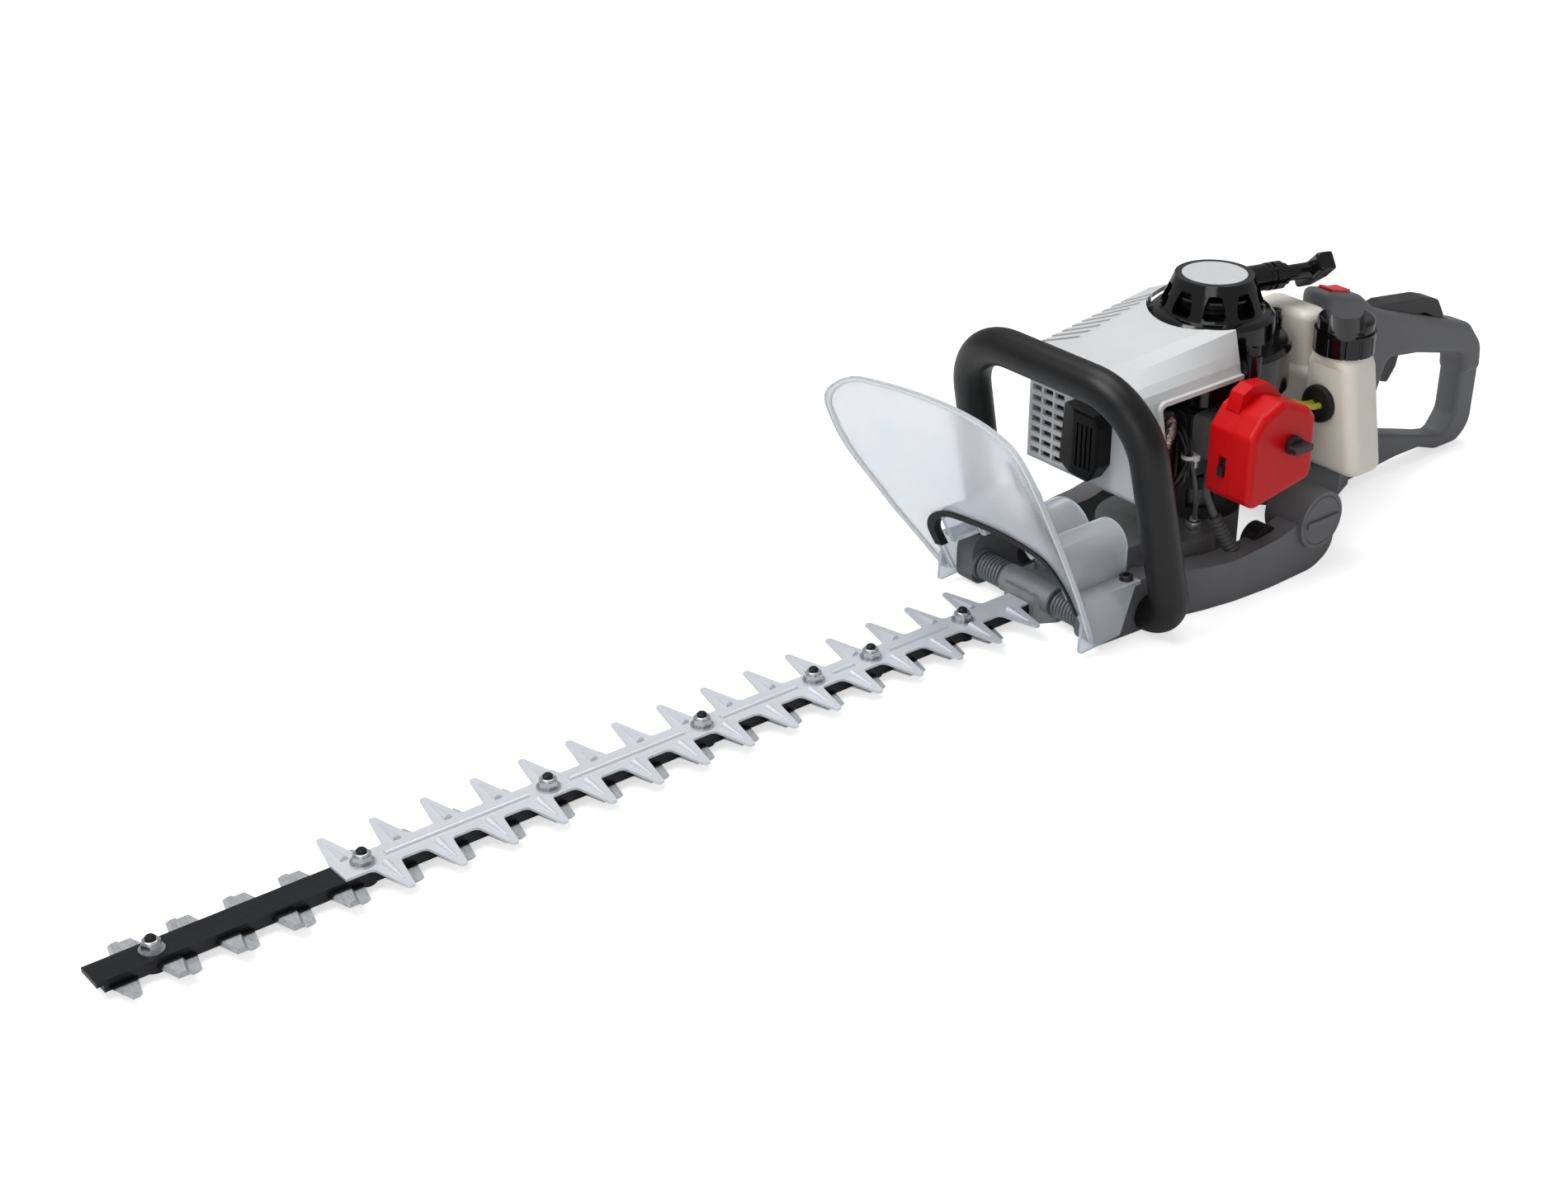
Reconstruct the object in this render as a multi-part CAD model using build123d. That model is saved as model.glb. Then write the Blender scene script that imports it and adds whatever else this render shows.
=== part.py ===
from build123d import *
import math
import os

# Petrol hedge trimmer with a double-sided reciprocating cutter.
# Millimetres. +Z up, blade tip towards -X, rear handle towards +X, air filter towards -Y.
# The origin is on the vertical crank axis, at the surface that the machine rests on.

# Cutter
TOOTH_PITCH = 33.0
SIDE_STAGGER = TOOTH_PITCH / 2
BLADE_T = 2.2
BLADE_GAP = 0.1
BAR_T = 3.0
COMB_T = 1.5
COMB_TOP_Z = 14.0
BAR_TIP_X = -813.0
BAR_REAR_X = -118.0
BAR_HALF_W = 9.0
BAR_BOLT_X = [-778.0, -654.0, -533.0, -423.5, -338.0, -292.0, -215.0]
BOLT_R = 3.0
BOLT_HEAD_R = 7.5
BOLT_HEAD_T = 2.3
BOLT_HOLE_R = BOLT_R + 0.2
SLEEVE_R = 4.0
ECCENTRIC_THROW = 8.25
REST_LAG = 3.3
CUT_TOOTH_ROOT_W = 15.4
CUT_TOOTH_TIP_W = 6.5
CUT_TOOTH_REACH = 24.5
CUT_TEETH = 18
FIRST_CUT_TOOTH_X = -769.0
COMB_TEETH = 15
FIRST_COMB_TOOTH_X = -660.7
COMB_TOOTH_REACH = 35.6
COMB_TOOTH_ROOT_W = 17.0
COMB_TOOTH_TIP_W = 4.0
RIB_Y = 17.5
RIB_LENGTH = 19.0
RIB_ROOT_R = 2.6
RIB_TIP_R = 0.6
BEAD_R = 2.0

# Gear drive, below the crank axis
MODULE = 1.5
PINION_TEETH = 12
GEAR_TEETH = 40
GEAR_W = 7.0
PRESSURE_ANGLE = math.radians(20)
GEAR_X = -MODULE * (PINION_TEETH + GEAR_TEETH) / 2
ECCENTRIC_R = 10.0
LID_T = 3.0
LID_Z = 0.0
CASE_TOP_Z = 34.0
CASE_WALL = 4.0
NECK_FRONT_X = -165.0
NECK_HALF_W = 22.0
NECK_TOP_Z = 20.0
NECK_TAPER = 8.0
SHAFT_R = 6.0
RUN_CLEARANCE = 0.05
FREE_CLEARANCE = 0.3
BEARING_R = 11.0
bearing_z = CASE_TOP_Z - 6.0

# Engine
CLUTCH_TOP_Z = 62.0
CLUTCH_DRUM_R = 24.0
CLUTCH_GAP = 2.5
CLUTCH_WALL = 3.0
CRANKCASE_R = 36.0
CRANKCASE_TOP_Z = 126.0
CYLINDER_Z = 98.0
CYLINDER_REAR_X = -36.0
CYLINDER_FRONT_X = -74.0
FLYWHEEL_R = 38.0
FLYWHEEL_Z = 131.0
FLYWHEEL_T = 14.0
INTAKE_X = -26.0
BOOT_X = CYLINDER_FRONT_X - 16.0
BOOT_REACH = 14.0
COIL_Z = CYLINDER_Z + 33.0
COIL_HALF_W = 13.0
LEAD_R = 2.5
LEAD_TURN_Y = 28.0
INTAKE_Z = 107.0

# Recoil starter
STARTER_R = 54.0
STARTER_LEDGE_Z = 156.0
STARTER_UPPER_R = 41.5
STARTER_BASE_Z = CRANKCASE_TOP_Z
STARTER_TOP_Z = 198.5
STARTER_WALL = 2.6
DOME_TOP_R = 26.0
DOME_BASE_R = 35.0
DOME_BASE_Z = 176.0
DISC_R = 21.5
VENTS = 9
VENT_HALF_W = 7.8
ROPE_Z = 182.0
ROPE_YAW = -16.0
ROPE_R = 2.0
SCREW_ANGLES = [-104, -14, 76, 166]
FLAT_X = -19.0
FLAT_Z = 138.0
BOSS_R = 5.5
BOSS_RISE = 4.0
COIL_X = -STARTER_R - 14.0
PULLEY_R = 16.0
PULLEY_FLANGE_R = 20.0
PULLEY_T = 10.0
GUIDE_X = 52.0
GUIDE_LENGTH = 11.0
COLLAR_LENGTH = 4.0
GRIP_X = GUIDE_X + GUIDE_LENGTH + COLLAR_LENGTH + FREE_CLEARANCE
GRIP_ROLL = -38.0
KNOT_DEPTH = 16.0

# Engine cover
COVER_FRONT_X = -108.0
COVER_REAR_X = 4.0
COVER_NEAR_Y = -46.0
COVER_FAR_Y = 60.0
COVER_BASE_Z = 77.0
COVER_WALL = 2.5
COVER_FRONT_TOP_Z = 161.5
COVER_REAR_TOP_Z = 183.0
COVER_FRONT_R = 6.0
COVER_NOTCH_X = -20.0
COVER_LIP_Z = 148.0
FLANK_FRONT = [(-44, 153), (-38, 157), (-24, 160)]
FLANK_REAR = [(-45, 155), (-44, 163), (-43, 180)]
RIDGE_FRONT_Y = -10.0
RIDGE_REAR_Y = -35.0
LOUVRE_Y = 31.0
LOUVRE_FRONT_DROP = 6.0
LOUVRE_REAR_DROP = 13.0
LOUVRES = 9
LOUVRE_W = 3.6
LOUVRE_SLANT = 27.0
GRILLE_ROWS = 7
GRILLE_Z = 83.5
GRILLE_PITCH = 7.4
GRILLE_CELLS = [(24.5, 33), (35, 43.5), (45.5, 53.5)]
DEFLECTOR_OUTLINE = [(22, 90), (17, 134), (-14, 134), (-19, 127), (-19, 99), (-11, 87)]
DEFLECTOR_DEPTH = 13.0

# Air filter
FILTER_BACK_Y = -(STARTER_R - 3 + BOSS_R + 0.5)
FILTER_SEAM_Y = FILTER_BACK_Y - 18.0
FILTER_FACE_Y = FILTER_SEAM_Y - 18.0
FILTER_WALL = 2.2
FILTER_LEFT_X = -58.0
FILTER_OUTLINE = [(FILTER_LEFT_X, 82), (-50, 76), (1, 84), (4, 91), (3, 128), (-3, 135), (-30, 146),
                  (-48, 139), (FILTER_LEFT_X, 126)]
FILTER_BUMP = [(-51, 136), (-8, 132), (-12, 141), (-23, 151), (-38, 153), (-47, 149)]
KNOB_X = -20.5
KNOB_Z = 114.5
CHOKE_Y = FILTER_SEAM_Y + 6.0
CHOKE_Z = 98.0

# Fuel tank
TANK_FRONT_X = 57.0
TANK_REAR_X = 89.0
TANK_NEAR_Y = -86.0
TANK_TOP_NEAR_Y = -73.0
TANK_LOBE_Y = -34.0
TANK_FAR_Y = 46.0
TANK_BASE_Z = 62.0
TANK_SHOULDER_Z = 135.0
TANK_NECK_Z = 143.0
TANK_WALL = 2.0
CAP_X = 73.0
CAP_Y = -53.5
CAP_R = 20.5
CAP_H = 24.0
NECK_R = 15.0
TANK_CORNER_R = 9.0
TANK_EDGE_R = 6.0
HOSE_R = 2.2
HOSE_Y = [-3.0, 3.0]
GROMMET_Y = -51.0
GROMMET_Z = 108.0
GROMMET_R = 13.0

# Handles and frame
LOOP_LEAN = 0.222
LOOP_FOOT_X = -108.7
LOOP_FOOT_HALF_W = 85.0
LOOP_TOP_HALF_W = 78.0
LOOP_TOP_Z = 171.0
LOOP_FOOT_Z = 12.5
LOOP_INNER_Y = 56.0
LOOP_BEND_R = 44.0
LOOP_FOOT_R = 20.0
LOOP_TURN_POINTS = [(LOOP_FOOT_HALF_W, LOOP_FOOT_Z), (LOOP_TOP_HALF_W, LOOP_TOP_Z)]
TUBE_R = 9.5
FOAM_R = 12.5
GRIP_HALF_W = 12.5
GRIP_RIM_R = 6.0
ARM_HALF_W = 10.0
ARM_RIM_R = 3.5
GRIP_WALL = 3.0
HANDLE_SPLIT_X = 150.0
STEM_HALF_W = 11.0
STEM_TOP_Z = 33.0
RAIL_H = 30.0
RAIL_FRONT_X = -162.5
MOUNT_X = 38.0
MOUNT_Z = 37.0
MOUNT_R = 17.5
MOUNT_FACE_Y = 78.0

# Vibration springs
SPRING_X = -153.0
SPRING_Z = 16.0
SPRING_R = 7.6
SPRING_WIRE_R = 0.95
SPRING_TURNS = 6
SPRING_IN_Y = 23.4
SPRING_OUT_Y = 45.6
SPRING_ARM_Y = 48.0

# Hand guard
GUARD_T = 2.5
GUARD_LEAN = 0.5
GUARD_MID_X = -180.0
GUARD_MID_Z = 60.0
GUARD_SWEEP_R = 185.0
GUARD_HALF_W = 100.0
FLANGE_Z = 40.0
GUARD_FOOT_Y = 67.0
GUARD_SCREW = (-130.0, 60.0)
GUARD_REAR_X = -124.0
GUARD_EDGE = [(64, 11, 2), (70, 10, 2), (86, 56, 120), (100, 110, 120), (98, 150, 28), (76, 168, 28)]
ARCH_HALF_W = 64.0
ARCH_TOP_Z = 64.0
ARCH_CORNER_R = 22.0

# Rear handle
GRIP_OUTLINE = [(104, 12, 4), (104, 163, 5), (143, 152, 14), (160, 138, 16), (200, 124, 60), (236, 112, 60),
                (274, 99, 14), (290, 80, 18), (292, 58, 6), (270, 58, 4), (268, 76, 8), (215, 90, 30),
                (180, 95, 8), (168, 60, 20), (166, 12, 4)]
ARM_OUTLINE = [(292, 74, 3), (290, 14, 20), (276, 4, 12), (252, 4, 16), (232, 11, 20), (205, 11, 40),
               (140, 6, 3), (140, 40, 3), (172, 38, 12), (204, 29, 20), (244, 17, 14), (258, 14, 8),
               (269, 28, 12), (270, 74, 3)]
GRIP_SCREWS = [(120, 60), (150, 110), (250, 96), (281, 44)]
FINGER_GROOVES = [(206, 76), (228, 70), (249, 64)]
TRIGGER_PIVOT = (172.0, 106.0)
LOCK_PIVOT = (168.0, 130.0)
SWITCH_X = 125.0
SWITCH_Z = 154.0
SCREW_R = 1.8
SCREW_HEAD_R = 3.6
SCREW_SEAT_Y = 7.0
SCREW_END_Y = 5.0
SWITCH_PIVOT = (SWITCH_X, SWITCH_Z)
SWITCH_HALF_W = 6.0
TRIGGER_HALF_W = 6.0
LOCK_HALF_W = 7.0
PIVOT_R = 1.8

# Frame rails, as (X, Y, corner radius) in plan and (X, Z, corner radius) from the side
RAIL_OUTER = [(RAIL_FRONT_X, 63, 0), (-95, 63, 60), (-65, 70, 80), (-40, 74, 80), (-7, 76, 120),
              (38, 74.5, 60), (73, 62, 70), (100, 41, 100), (125, 22, 60), (HANDLE_SPLIT_X, STEM_HALF_W, 0)]
RAIL_INNER = [(HANDLE_SPLIT_X, -1, 0), (82, -1, 0), (66, 34, 20), (44, 52, 14), (20, 57, 30), (-20, 58, 60),
              (-60, 52, 60), (-100, 48, 60), (RAIL_FRONT_X, 48, 0)]
RAIL_PROFILE = [(RAIL_FRONT_X, 2, 9), (-120, 0, 60), (60, 0, 40), (100, 10, 60), (160, 6, 0),
                (160, STEM_TOP_Z, 0), (60, STEM_TOP_Z, 12), (30, 42, 14), (0, 35, 30), (-45, RAIL_H, 60),
                (-90, 33, 60), (-112, FLANGE_Z - GUARD_T, 10), (RAIL_FRONT_X, FLANGE_Z - GUARD_T, 13)]

# Throttle cable and its sleeve
SLEEVE_FOOT = Vector(-30, -62, 28)
SLEEVE_AXIS = Vector(-14, 8, 28)
SLEEVE_LENGTH = 32.0
SLEEVE_RIBS = 10
SLEEVE_RIB_R = 5.2
CABLE_R = 2.5
sleeve_plane = Plane(SLEEVE_FOOT, x_dir=(0, 1, 0), z_dir=SLEEVE_AXIS)


def upright(radius, z0, z1, x=0.0, y=0.0):
    """Vertical cylinder from z0 to z1."""
    return Pos(x, y, z0) * Cylinder(radius, z1 - z0, align=(Align.CENTER, Align.CENTER, Align.MIN))


def along_y(radius, y0, y1, x, z):
    """Cylinder parallel to Y from y0 to y1."""
    return Pos(x, (y0 + y1) / 2, z) * Rot(90, 0, 0) * Cylinder(radius, abs(y1 - y0))


def along_x(radius, x0, x1, y, z):
    """Cylinder parallel to X from x0 to x1."""
    return Pos((x0 + x1) / 2, y, z) * Rot(0, 90, 0) * Cylinder(radius, abs(x1 - x0))


def block(x0, x1, y0, y1, z0, z1):
    """Plain box between two corners."""
    middle = Pos((x0 + x1) / 2, (y0 + y1) / 2, (z0 + z1) / 2)
    return middle * Box(abs(x1 - x0), abs(y1 - y0), abs(z1 - z0))


def outline(points, radius=0.0):
    """Closed face through the points, with every corner rounded."""
    face = make_face(Polyline(*points, close=True))
    return fillet(face.vertices(), radius) if radius else face


def shaped(corners):
    """Closed face through corners that are each given as (across, up, radius)."""
    places = [(a, b) for a, b, _ in corners]
    return make_face(FilletPolyline(*places, radius=[r for _, _, r in corners], close=True))


def slab(face, z0, z1):
    """Face drawn in plan, raised from z0 to z1."""
    return extrude(Pos(0, 0, z0) * face, z1 - z0, dir=(0, 0, 1))


def side_plate(face, y0, y1):
    """Face drawn as (X, Z), given a width from y0 to y1."""
    return extrude(Plane((0, y0, 0), (1, 0, 0), (0, -1, 0)) * face, y1 - y0, dir=(0, 1, 0))


def front_plate(face, x0, x1):
    """Face drawn as (Y, Z), given a depth from x0 to x1."""
    return extrude(Plane((x0, 0, 0), (0, 1, 0), (1, 0, 0)) * face, x1 - x0, dir=(1, 0, 0))


def mirrored(solid):
    """The same piece on the other side of the machine."""
    return mirror(solid, about=Plane.XZ)


def save(name, *solids):
    """Write one node, a single solid or a group of separate solids."""
    shape = solids[0] if len(solids) == 1 else Compound(children=list(solids))
    export_step(shape, f"parts/{name}.step")


comb_z = COMB_TOP_Z - COMB_T
bar_z = comb_z - BAR_T
upper_z = bar_z - BLADE_GAP - BLADE_T
lower_z = upper_z - BLADE_GAP - BLADE_T


def cut_tooth(x, side, flat_z, ground_z):
    """One ground tooth: full width on the shearing face, bevelled to the other face."""
    def tooth_face(z, bevel):
        root = CUT_TOOTH_ROOT_W / 2
        tip = CUT_TOOTH_TIP_W / 2 - bevel
        reach = CUT_TOOTH_REACH - bevel
        points = [(x - root, side * BAR_HALF_W * 0.5), (x + root, side * BAR_HALF_W * 0.5),
                  (x + root - bevel, side * BAR_HALF_W), (x + tip, side * reach),
                  (x - tip, side * reach), (x - root + bevel, side * BAR_HALF_W)]
        return Pos(0, 0, z) * outline(points)
    return loft([tooth_face(flat_z, 0.0), tooth_face(ground_z, 1.6)])


def blade(z, lag, first_near, ground_up):
    """Reciprocating blade: toothed strip, bolt slots and a yoke for the eccentric."""
    top = z + BLADE_T
    near_x = [FIRST_CUT_TOOTH_X + lag + TOOTH_PITCH * i for i in range(first_near, CUT_TEETH)]
    far_x = [FIRST_CUT_TOOTH_X - SIDE_STAGGER + lag + TOOTH_PITCH * i for i in range(CUT_TEETH)]
    front_x = BAR_TIP_X + 4.0
    yoke_x = GEAR_X + lag
    body = block(front_x, yoke_x - 5, -BAR_HALF_W + 0.4, BAR_HALF_W - 0.4, z, top)
    slot_half = ECCENTRIC_R + 0.4
    yoke = slab(SlotOverall(2 * (slot_half + ECCENTRIC_THROW + 5), 2 * (slot_half + 4), 90), z, top)
    window = slab(SlotOverall(2 * (slot_half + ECCENTRIC_THROW), 2 * slot_half, 90), z, top)
    body += Pos(yoke_x, 0, 0) * yoke
    body -= Pos(yoke_x, 0, 0) * window
    flat_z, ground_z = (z, top) if ground_up else (top, z)
    body += [cut_tooth(x, -1, flat_z, ground_z) for x in near_x]
    body += [cut_tooth(x, 1, flat_z, ground_z) for x in far_x]
    slot = slab(SlotOverall(2 * (ECCENTRIC_THROW + SLEEVE_R + 1), 2 * (SLEEVE_R + FREE_CLEARANCE)), z, top)
    return body - [Pos(x + lag, 0, 0) * slot for x in BAR_BOLT_X]


def guide_bar():
    """Flat black bar above the blades, bolted to the gear case neck."""
    bar = block(BAR_TIP_X, BAR_REAR_X, -BAR_HALF_W, BAR_HALF_W, bar_z, comb_z)
    return bar - [upright(BOLT_HOLE_R, bar_z, comb_z, x) for x in BAR_BOLT_X]


def comb_tooth(x, side):
    """Plan of one blunt guard tooth."""
    root = COMB_TOOTH_ROOT_W / 2
    tip = COMB_TOOTH_TIP_W / 2
    points = [(x - root, 0), (x + root, 0), (x + root, side * BAR_HALF_W), (x + tip, side * COMB_TOOTH_REACH),
              (x - tip, side * COMB_TOOTH_REACH), (x - root, side * BAR_HALF_W)]
    return outline(points)


def tooth_rib(x, side):
    """Boat-shaped rib pressed up along one guard tooth."""
    boat = Rot(-90 * side, 0, 0) * Cone(RIB_ROOT_R, RIB_TIP_R, RIB_LENGTH)
    boat = Pos(x, side * RIB_Y, COMB_TOP_Z - 0.2) * boat
    return boat & block(x - 4, x + 4, -40, 40, comb_z + 0.2, COMB_TOP_Z + 4)


def spine_bead(x0, x1):
    """Round bead pressed up along the spine between two bolts."""
    bead = along_x(BEAD_R, x0 + 14, x1 - 14, 0, COMB_TOP_Z - 0.4)
    return bead & block(x0, x1, -4, 4, comb_z + 0.2, COMB_TOP_Z + 4)


def tooth_comb():
    """Pressed sheet of blunt teeth that shields both sides of the blades."""
    far_x = [FIRST_COMB_TOOTH_X + TOOTH_PITCH * i for i in range(COMB_TEETH)]
    near_x = [x + SIDE_STAGGER for x in far_x]
    front_x = far_x[0] - COMB_TOOTH_ROOT_W / 2
    rear_x = near_x[-1] + COMB_TOOTH_ROOT_W / 2 + 8
    plan = Pos((front_x + rear_x) / 2, 0) * Rectangle(rear_x - front_x, 2 * BAR_HALF_W)
    plan += [comb_tooth(x, 1) for x in far_x] + [comb_tooth(x, -1) for x in near_x]
    tips = [v for v in plan.vertices() if abs(v.Y) > COMB_TOOTH_REACH - 1]
    plan = fillet(tips, COMB_TOOTH_TIP_W * 0.45)
    roots = [v for v in plan.vertices()
             if abs(abs(v.Y) - BAR_HALF_W) < 0.01 and front_x + 2 < v.X < rear_x - 2]
    plan = fillet(roots, 3.5)
    comb = slab(plan, comb_z, COMB_TOP_Z)
    comb -= [upright(BOLT_HOLE_R, comb_z, COMB_TOP_Z, x) for x in BAR_BOLT_X[1:]]
    pressed = [tooth_rib(x, 1) for x in far_x] + [tooth_rib(x, -1) for x in near_x]
    pressed += [spine_bead(x0, x1) for x0, x1 in zip(BAR_BOLT_X[1:-1], BAR_BOLT_X[2:])]
    return comb + pressed


def bar_bolt(x):
    """Shouldered bolt: low head below, sleeve through both blades, thread up through the bar."""
    bolt = upright(SLEEVE_R, lower_z - BLADE_GAP, bar_z, x)
    bolt += upright(BOLT_HEAD_R, lower_z - BLADE_GAP - BOLT_HEAD_T, lower_z - BLADE_GAP, x)
    top = COMB_TOP_Z if x > BAR_BOLT_X[0] else comb_z
    bolt += upright(BOLT_R, bar_z, top + 9.0, x)
    return chamfer(bolt.edges().group_by(Axis.Z)[-1], 0.8)


def bar_nut(x):
    """Self-locking flange nut on top of the comb."""
    seat = COMB_TOP_Z if x > BAR_BOLT_X[0] else comb_z
    nut = upright(7.0, seat, seat + 1.2, x)
    nut += slab(Pos(x, 0) * RegularPolygon(5.0, 6, major_radius=False), seat + 1.2, seat + 5.4)
    nut += upright(4.6, seat + 5.4, seat + 7.0, x)
    nut = fillet(nut.edges().group_by(Axis.Z)[-1].sort_by(SortBy.RADIUS)[-1:], 1.0)
    return nut - upright(BOLT_R, seat, seat + 8, x)


def gear_face(teeth, backlash):
    """Plan of a spur gear with involute flanks."""
    pitch_r = MODULE * teeth / 2
    base_r = pitch_r * math.cos(PRESSURE_ANGLE)
    root_r = pitch_r - 1.2 * MODULE
    tip_r = pitch_r + 0.9 * MODULE
    inv = math.tan(PRESSURE_ANGLE) - PRESSURE_ANGLE
    half = math.pi / (2 * teeth) + inv - backlash / pitch_r / 2
    flank = []
    for i in range(4):
        r = max(base_r, root_r) + (tip_r - max(base_r, root_r)) * i / 3
        roll = math.acos(min(1.0, base_r / r))
        flank.append((r, half - (math.tan(roll) - roll)))
    points = []
    for k in range(teeth):
        mid = 2 * math.pi * k / teeth
        edge = [(root_r, flank[0][1] + 0.01)] + flank
        polar = [(r, mid - a) for r, a in edge] + [(r, mid + a) for r, a in reversed(edge)]
        points += [(r * math.cos(a), r * math.sin(a)) for r, a in polar]
    return outline(points)


pinion_z = upper_z + BLADE_T + 10.0


def clutch_drum():
    """Clutch drum with its shaft and the driving pinion in one piece."""
    drum = upright(CLUTCH_DRUM_R, CASE_TOP_Z + 4, CLUTCH_TOP_Z - 4)
    drum -= upright(CLUTCH_DRUM_R - 3, CASE_TOP_Z + 8, CLUTCH_TOP_Z)
    drum += upright(SHAFT_R, pinion_z - 2, CASE_TOP_Z + 5)
    turn = 180.0 / PINION_TEETH
    return drum + Rot(0, 0, turn) * slab(gear_face(PINION_TEETH, 0.4), pinion_z, pinion_z + GEAR_W)


def drive_gear():
    """Large gear with two opposed eccentrics that work the blade yokes."""
    first_z = upper_z + BLADE_T + FREE_CLEARANCE
    throw_z = (pinion_z - first_z) / 2
    gear = slab(gear_face(GEAR_TEETH, 0.4), pinion_z, pinion_z + GEAR_W)
    gear -= [Rot(0, 0, 60 * i) * upright(5.0, pinion_z, pinion_z + GEAR_W, 18.5) for i in range(6)]
    gear += upright(SHAFT_R, pinion_z, CASE_TOP_Z - 1)
    gear += upright(ECCENTRIC_R, first_z + throw_z, pinion_z, ECCENTRIC_THROW)
    gear += upright(ECCENTRIC_R, first_z, first_z + throw_z, -ECCENTRIC_THROW)
    return Pos(GEAR_X, 0, 0) * gear


def bearing(x):
    """Ball bearing as one ring, pressed into the gear case roof."""
    ring = upright(BEARING_R, bearing_z, CASE_TOP_Z - 1, x)
    return ring - upright(SHAFT_R + RUN_CLEARANCE, bearing_z, CASE_TOP_Z, x)


def case_plan(grow):
    """Plan of the gear case: gear bowl, clutch bowl and a straight neck for the blades."""
    gear_r = MODULE * GEAR_TEETH / 2 + 7 + grow
    plan = Pos(GEAR_X, 0) * Circle(gear_r)
    plan += Circle(CLUTCH_DRUM_R + CLUTCH_GAP + CLUTCH_WALL - CASE_WALL + grow)
    half = NECK_HALF_W - CASE_WALL + grow
    neck = [(GEAR_X, half), (NECK_FRONT_X + 14, half), (NECK_FRONT_X, half - NECK_TAPER)]
    return plan + outline(neck + [(x, -y) for x, y in reversed(neck)])


def gear_case():
    """Cast case, open below, with a neck that carries the bar and the spring seats."""
    case = slab(case_plan(CASE_WALL), LID_Z + LID_T, CASE_TOP_Z)
    case -= block(NECK_FRONT_X - 1, NECK_FRONT_X + 62, -60, 60, NECK_TOP_Z, CASE_TOP_Z + 1)
    case += along_y(SPRING_R + 2.2, -NECK_HALF_W, NECK_HALF_W, SPRING_X, SPRING_Z)
    case -= block(NECK_FRONT_X, GEAR_X, -60, 60, 0, LID_Z + LID_T)
    gear_r = MODULE * GEAR_TEETH / 2 + 7
    case -= upright(gear_r, LID_Z, bearing_z - 1, GEAR_X)
    case -= upright(14, LID_Z, bearing_z - 1)
    case -= block(GEAR_X, 0, -12, 12, LID_Z, bearing_z - 1)
    case -= block(NECK_FRONT_X - 1, GEAR_X, -BAR_HALF_W - 0.6, BAR_HALF_W + 0.6, LID_Z, bar_z)
    case -= block(NECK_FRONT_X - 1, BAR_REAR_X, -BAR_HALF_W, BAR_HALF_W, bar_z, comb_z)
    case -= upright(BEARING_R, bearing_z, CASE_TOP_Z - 1, GEAR_X)
    case -= upright(BEARING_R, bearing_z, CASE_TOP_Z - 1)
    case -= upright(SHAFT_R + 1, bearing_z - 2, CASE_TOP_Z)
    case -= upright(SHAFT_R + 1, bearing_z - 2, CASE_TOP_Z - 1, GEAR_X)
    for y in (-13.0, 13.0):
        case += upright(6.0, NECK_TOP_Z - 1, NECK_TOP_Z + 5, NECK_FRONT_X + 34, y)
    return case


def gear_lid():
    """Flat plate that closes the gear case from below."""
    return slab(case_plan(CASE_WALL), LID_Z, LID_Z + LID_T)


def clutch_housing():
    """Ring casting between the gear case and the crankcase, with cooling windows."""
    inner_r = CLUTCH_DRUM_R + CLUTCH_GAP
    ring = upright(inner_r + CLUTCH_WALL, CASE_TOP_Z, CLUTCH_TOP_Z)
    ring -= upright(inner_r, CASE_TOP_Z, CLUTCH_TOP_Z)
    window = block(CLUTCH_DRUM_R, CLUTCH_DRUM_R + 20, -9, 9, CASE_TOP_Z + 8, CLUTCH_TOP_Z - 6)
    return ring - [Rot(0, 0, 90 * i + 45) * window for i in range(4)]


def crankcase():
    """Closed crankcase with a flat face for the cylinder and a bore for the shaft."""
    case = upright(CRANKCASE_R, CLUTCH_TOP_Z, CLUTCH_TOP_Z + 6)
    case += upright(CRANKCASE_R - 6, CLUTCH_TOP_Z + 6, CRANKCASE_TOP_Z)
    case += block(CYLINDER_REAR_X, 0, -27, 27, CYLINDER_Z - 26, CRANKCASE_TOP_Z)
    flange = upright(STARTER_R - 2, CRANKCASE_TOP_Z - 3, CRANKCASE_TOP_Z)
    case += flange - block(-80, CYLINDER_REAR_X, -80, 80, CRANKCASE_TOP_Z - 4, CRANKCASE_TOP_Z + 1)
    return case - upright(SHAFT_R + 2 + RUN_CLEARANCE, CLUTCH_TOP_Z, CRANKCASE_TOP_Z)


def crankshaft():
    """Vertical crankshaft, seen as its two main journals and tapered ends."""
    shaft = upright(SHAFT_R + 2, CLUTCH_TOP_Z - 6, FLYWHEEL_Z + FLYWHEEL_T + 4)
    return shaft + upright(SHAFT_R, CASE_TOP_Z + 9, CLUTCH_TOP_Z - 6)


def clutch_shoes():
    """Centrifugal clutch: a hub with two curved shoes inside the drum."""
    z0 = CASE_TOP_Z + 10
    z1 = CLUTCH_TOP_Z - 7
    ring = upright(CLUTCH_DRUM_R - 4, z0, z1) - upright(CLUTCH_DRUM_R - 11, z0, z1)
    ring -= block(-2, 2, -40, 40, z0, z1)
    hub = block(-CLUTCH_DRUM_R + 10, CLUTCH_DRUM_R - 10, -7, 7, z0, z1)
    return (ring + hub) - upright(SHAFT_R, z0, z1)


def flywheel():
    """Cast flywheel with fan blades on its upper face."""
    wheel = upright(FLYWHEEL_R, FLYWHEEL_Z, FLYWHEEL_Z + 6)
    fin = block(24, FLYWHEEL_R - 1, -1.2, 1.2, FLYWHEEL_Z + 5, FLYWHEEL_Z + FLYWHEEL_T)
    wheel += [Rot(0, 0, 30 * i) * fin for i in range(12)]
    wheel += upright(15, FLYWHEEL_Z, FLYWHEEL_Z + FLYWHEEL_T)
    return wheel - upright(SHAFT_R + 2, FLYWHEEL_Z, FLYWHEEL_Z + FLYWHEEL_T)


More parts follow.
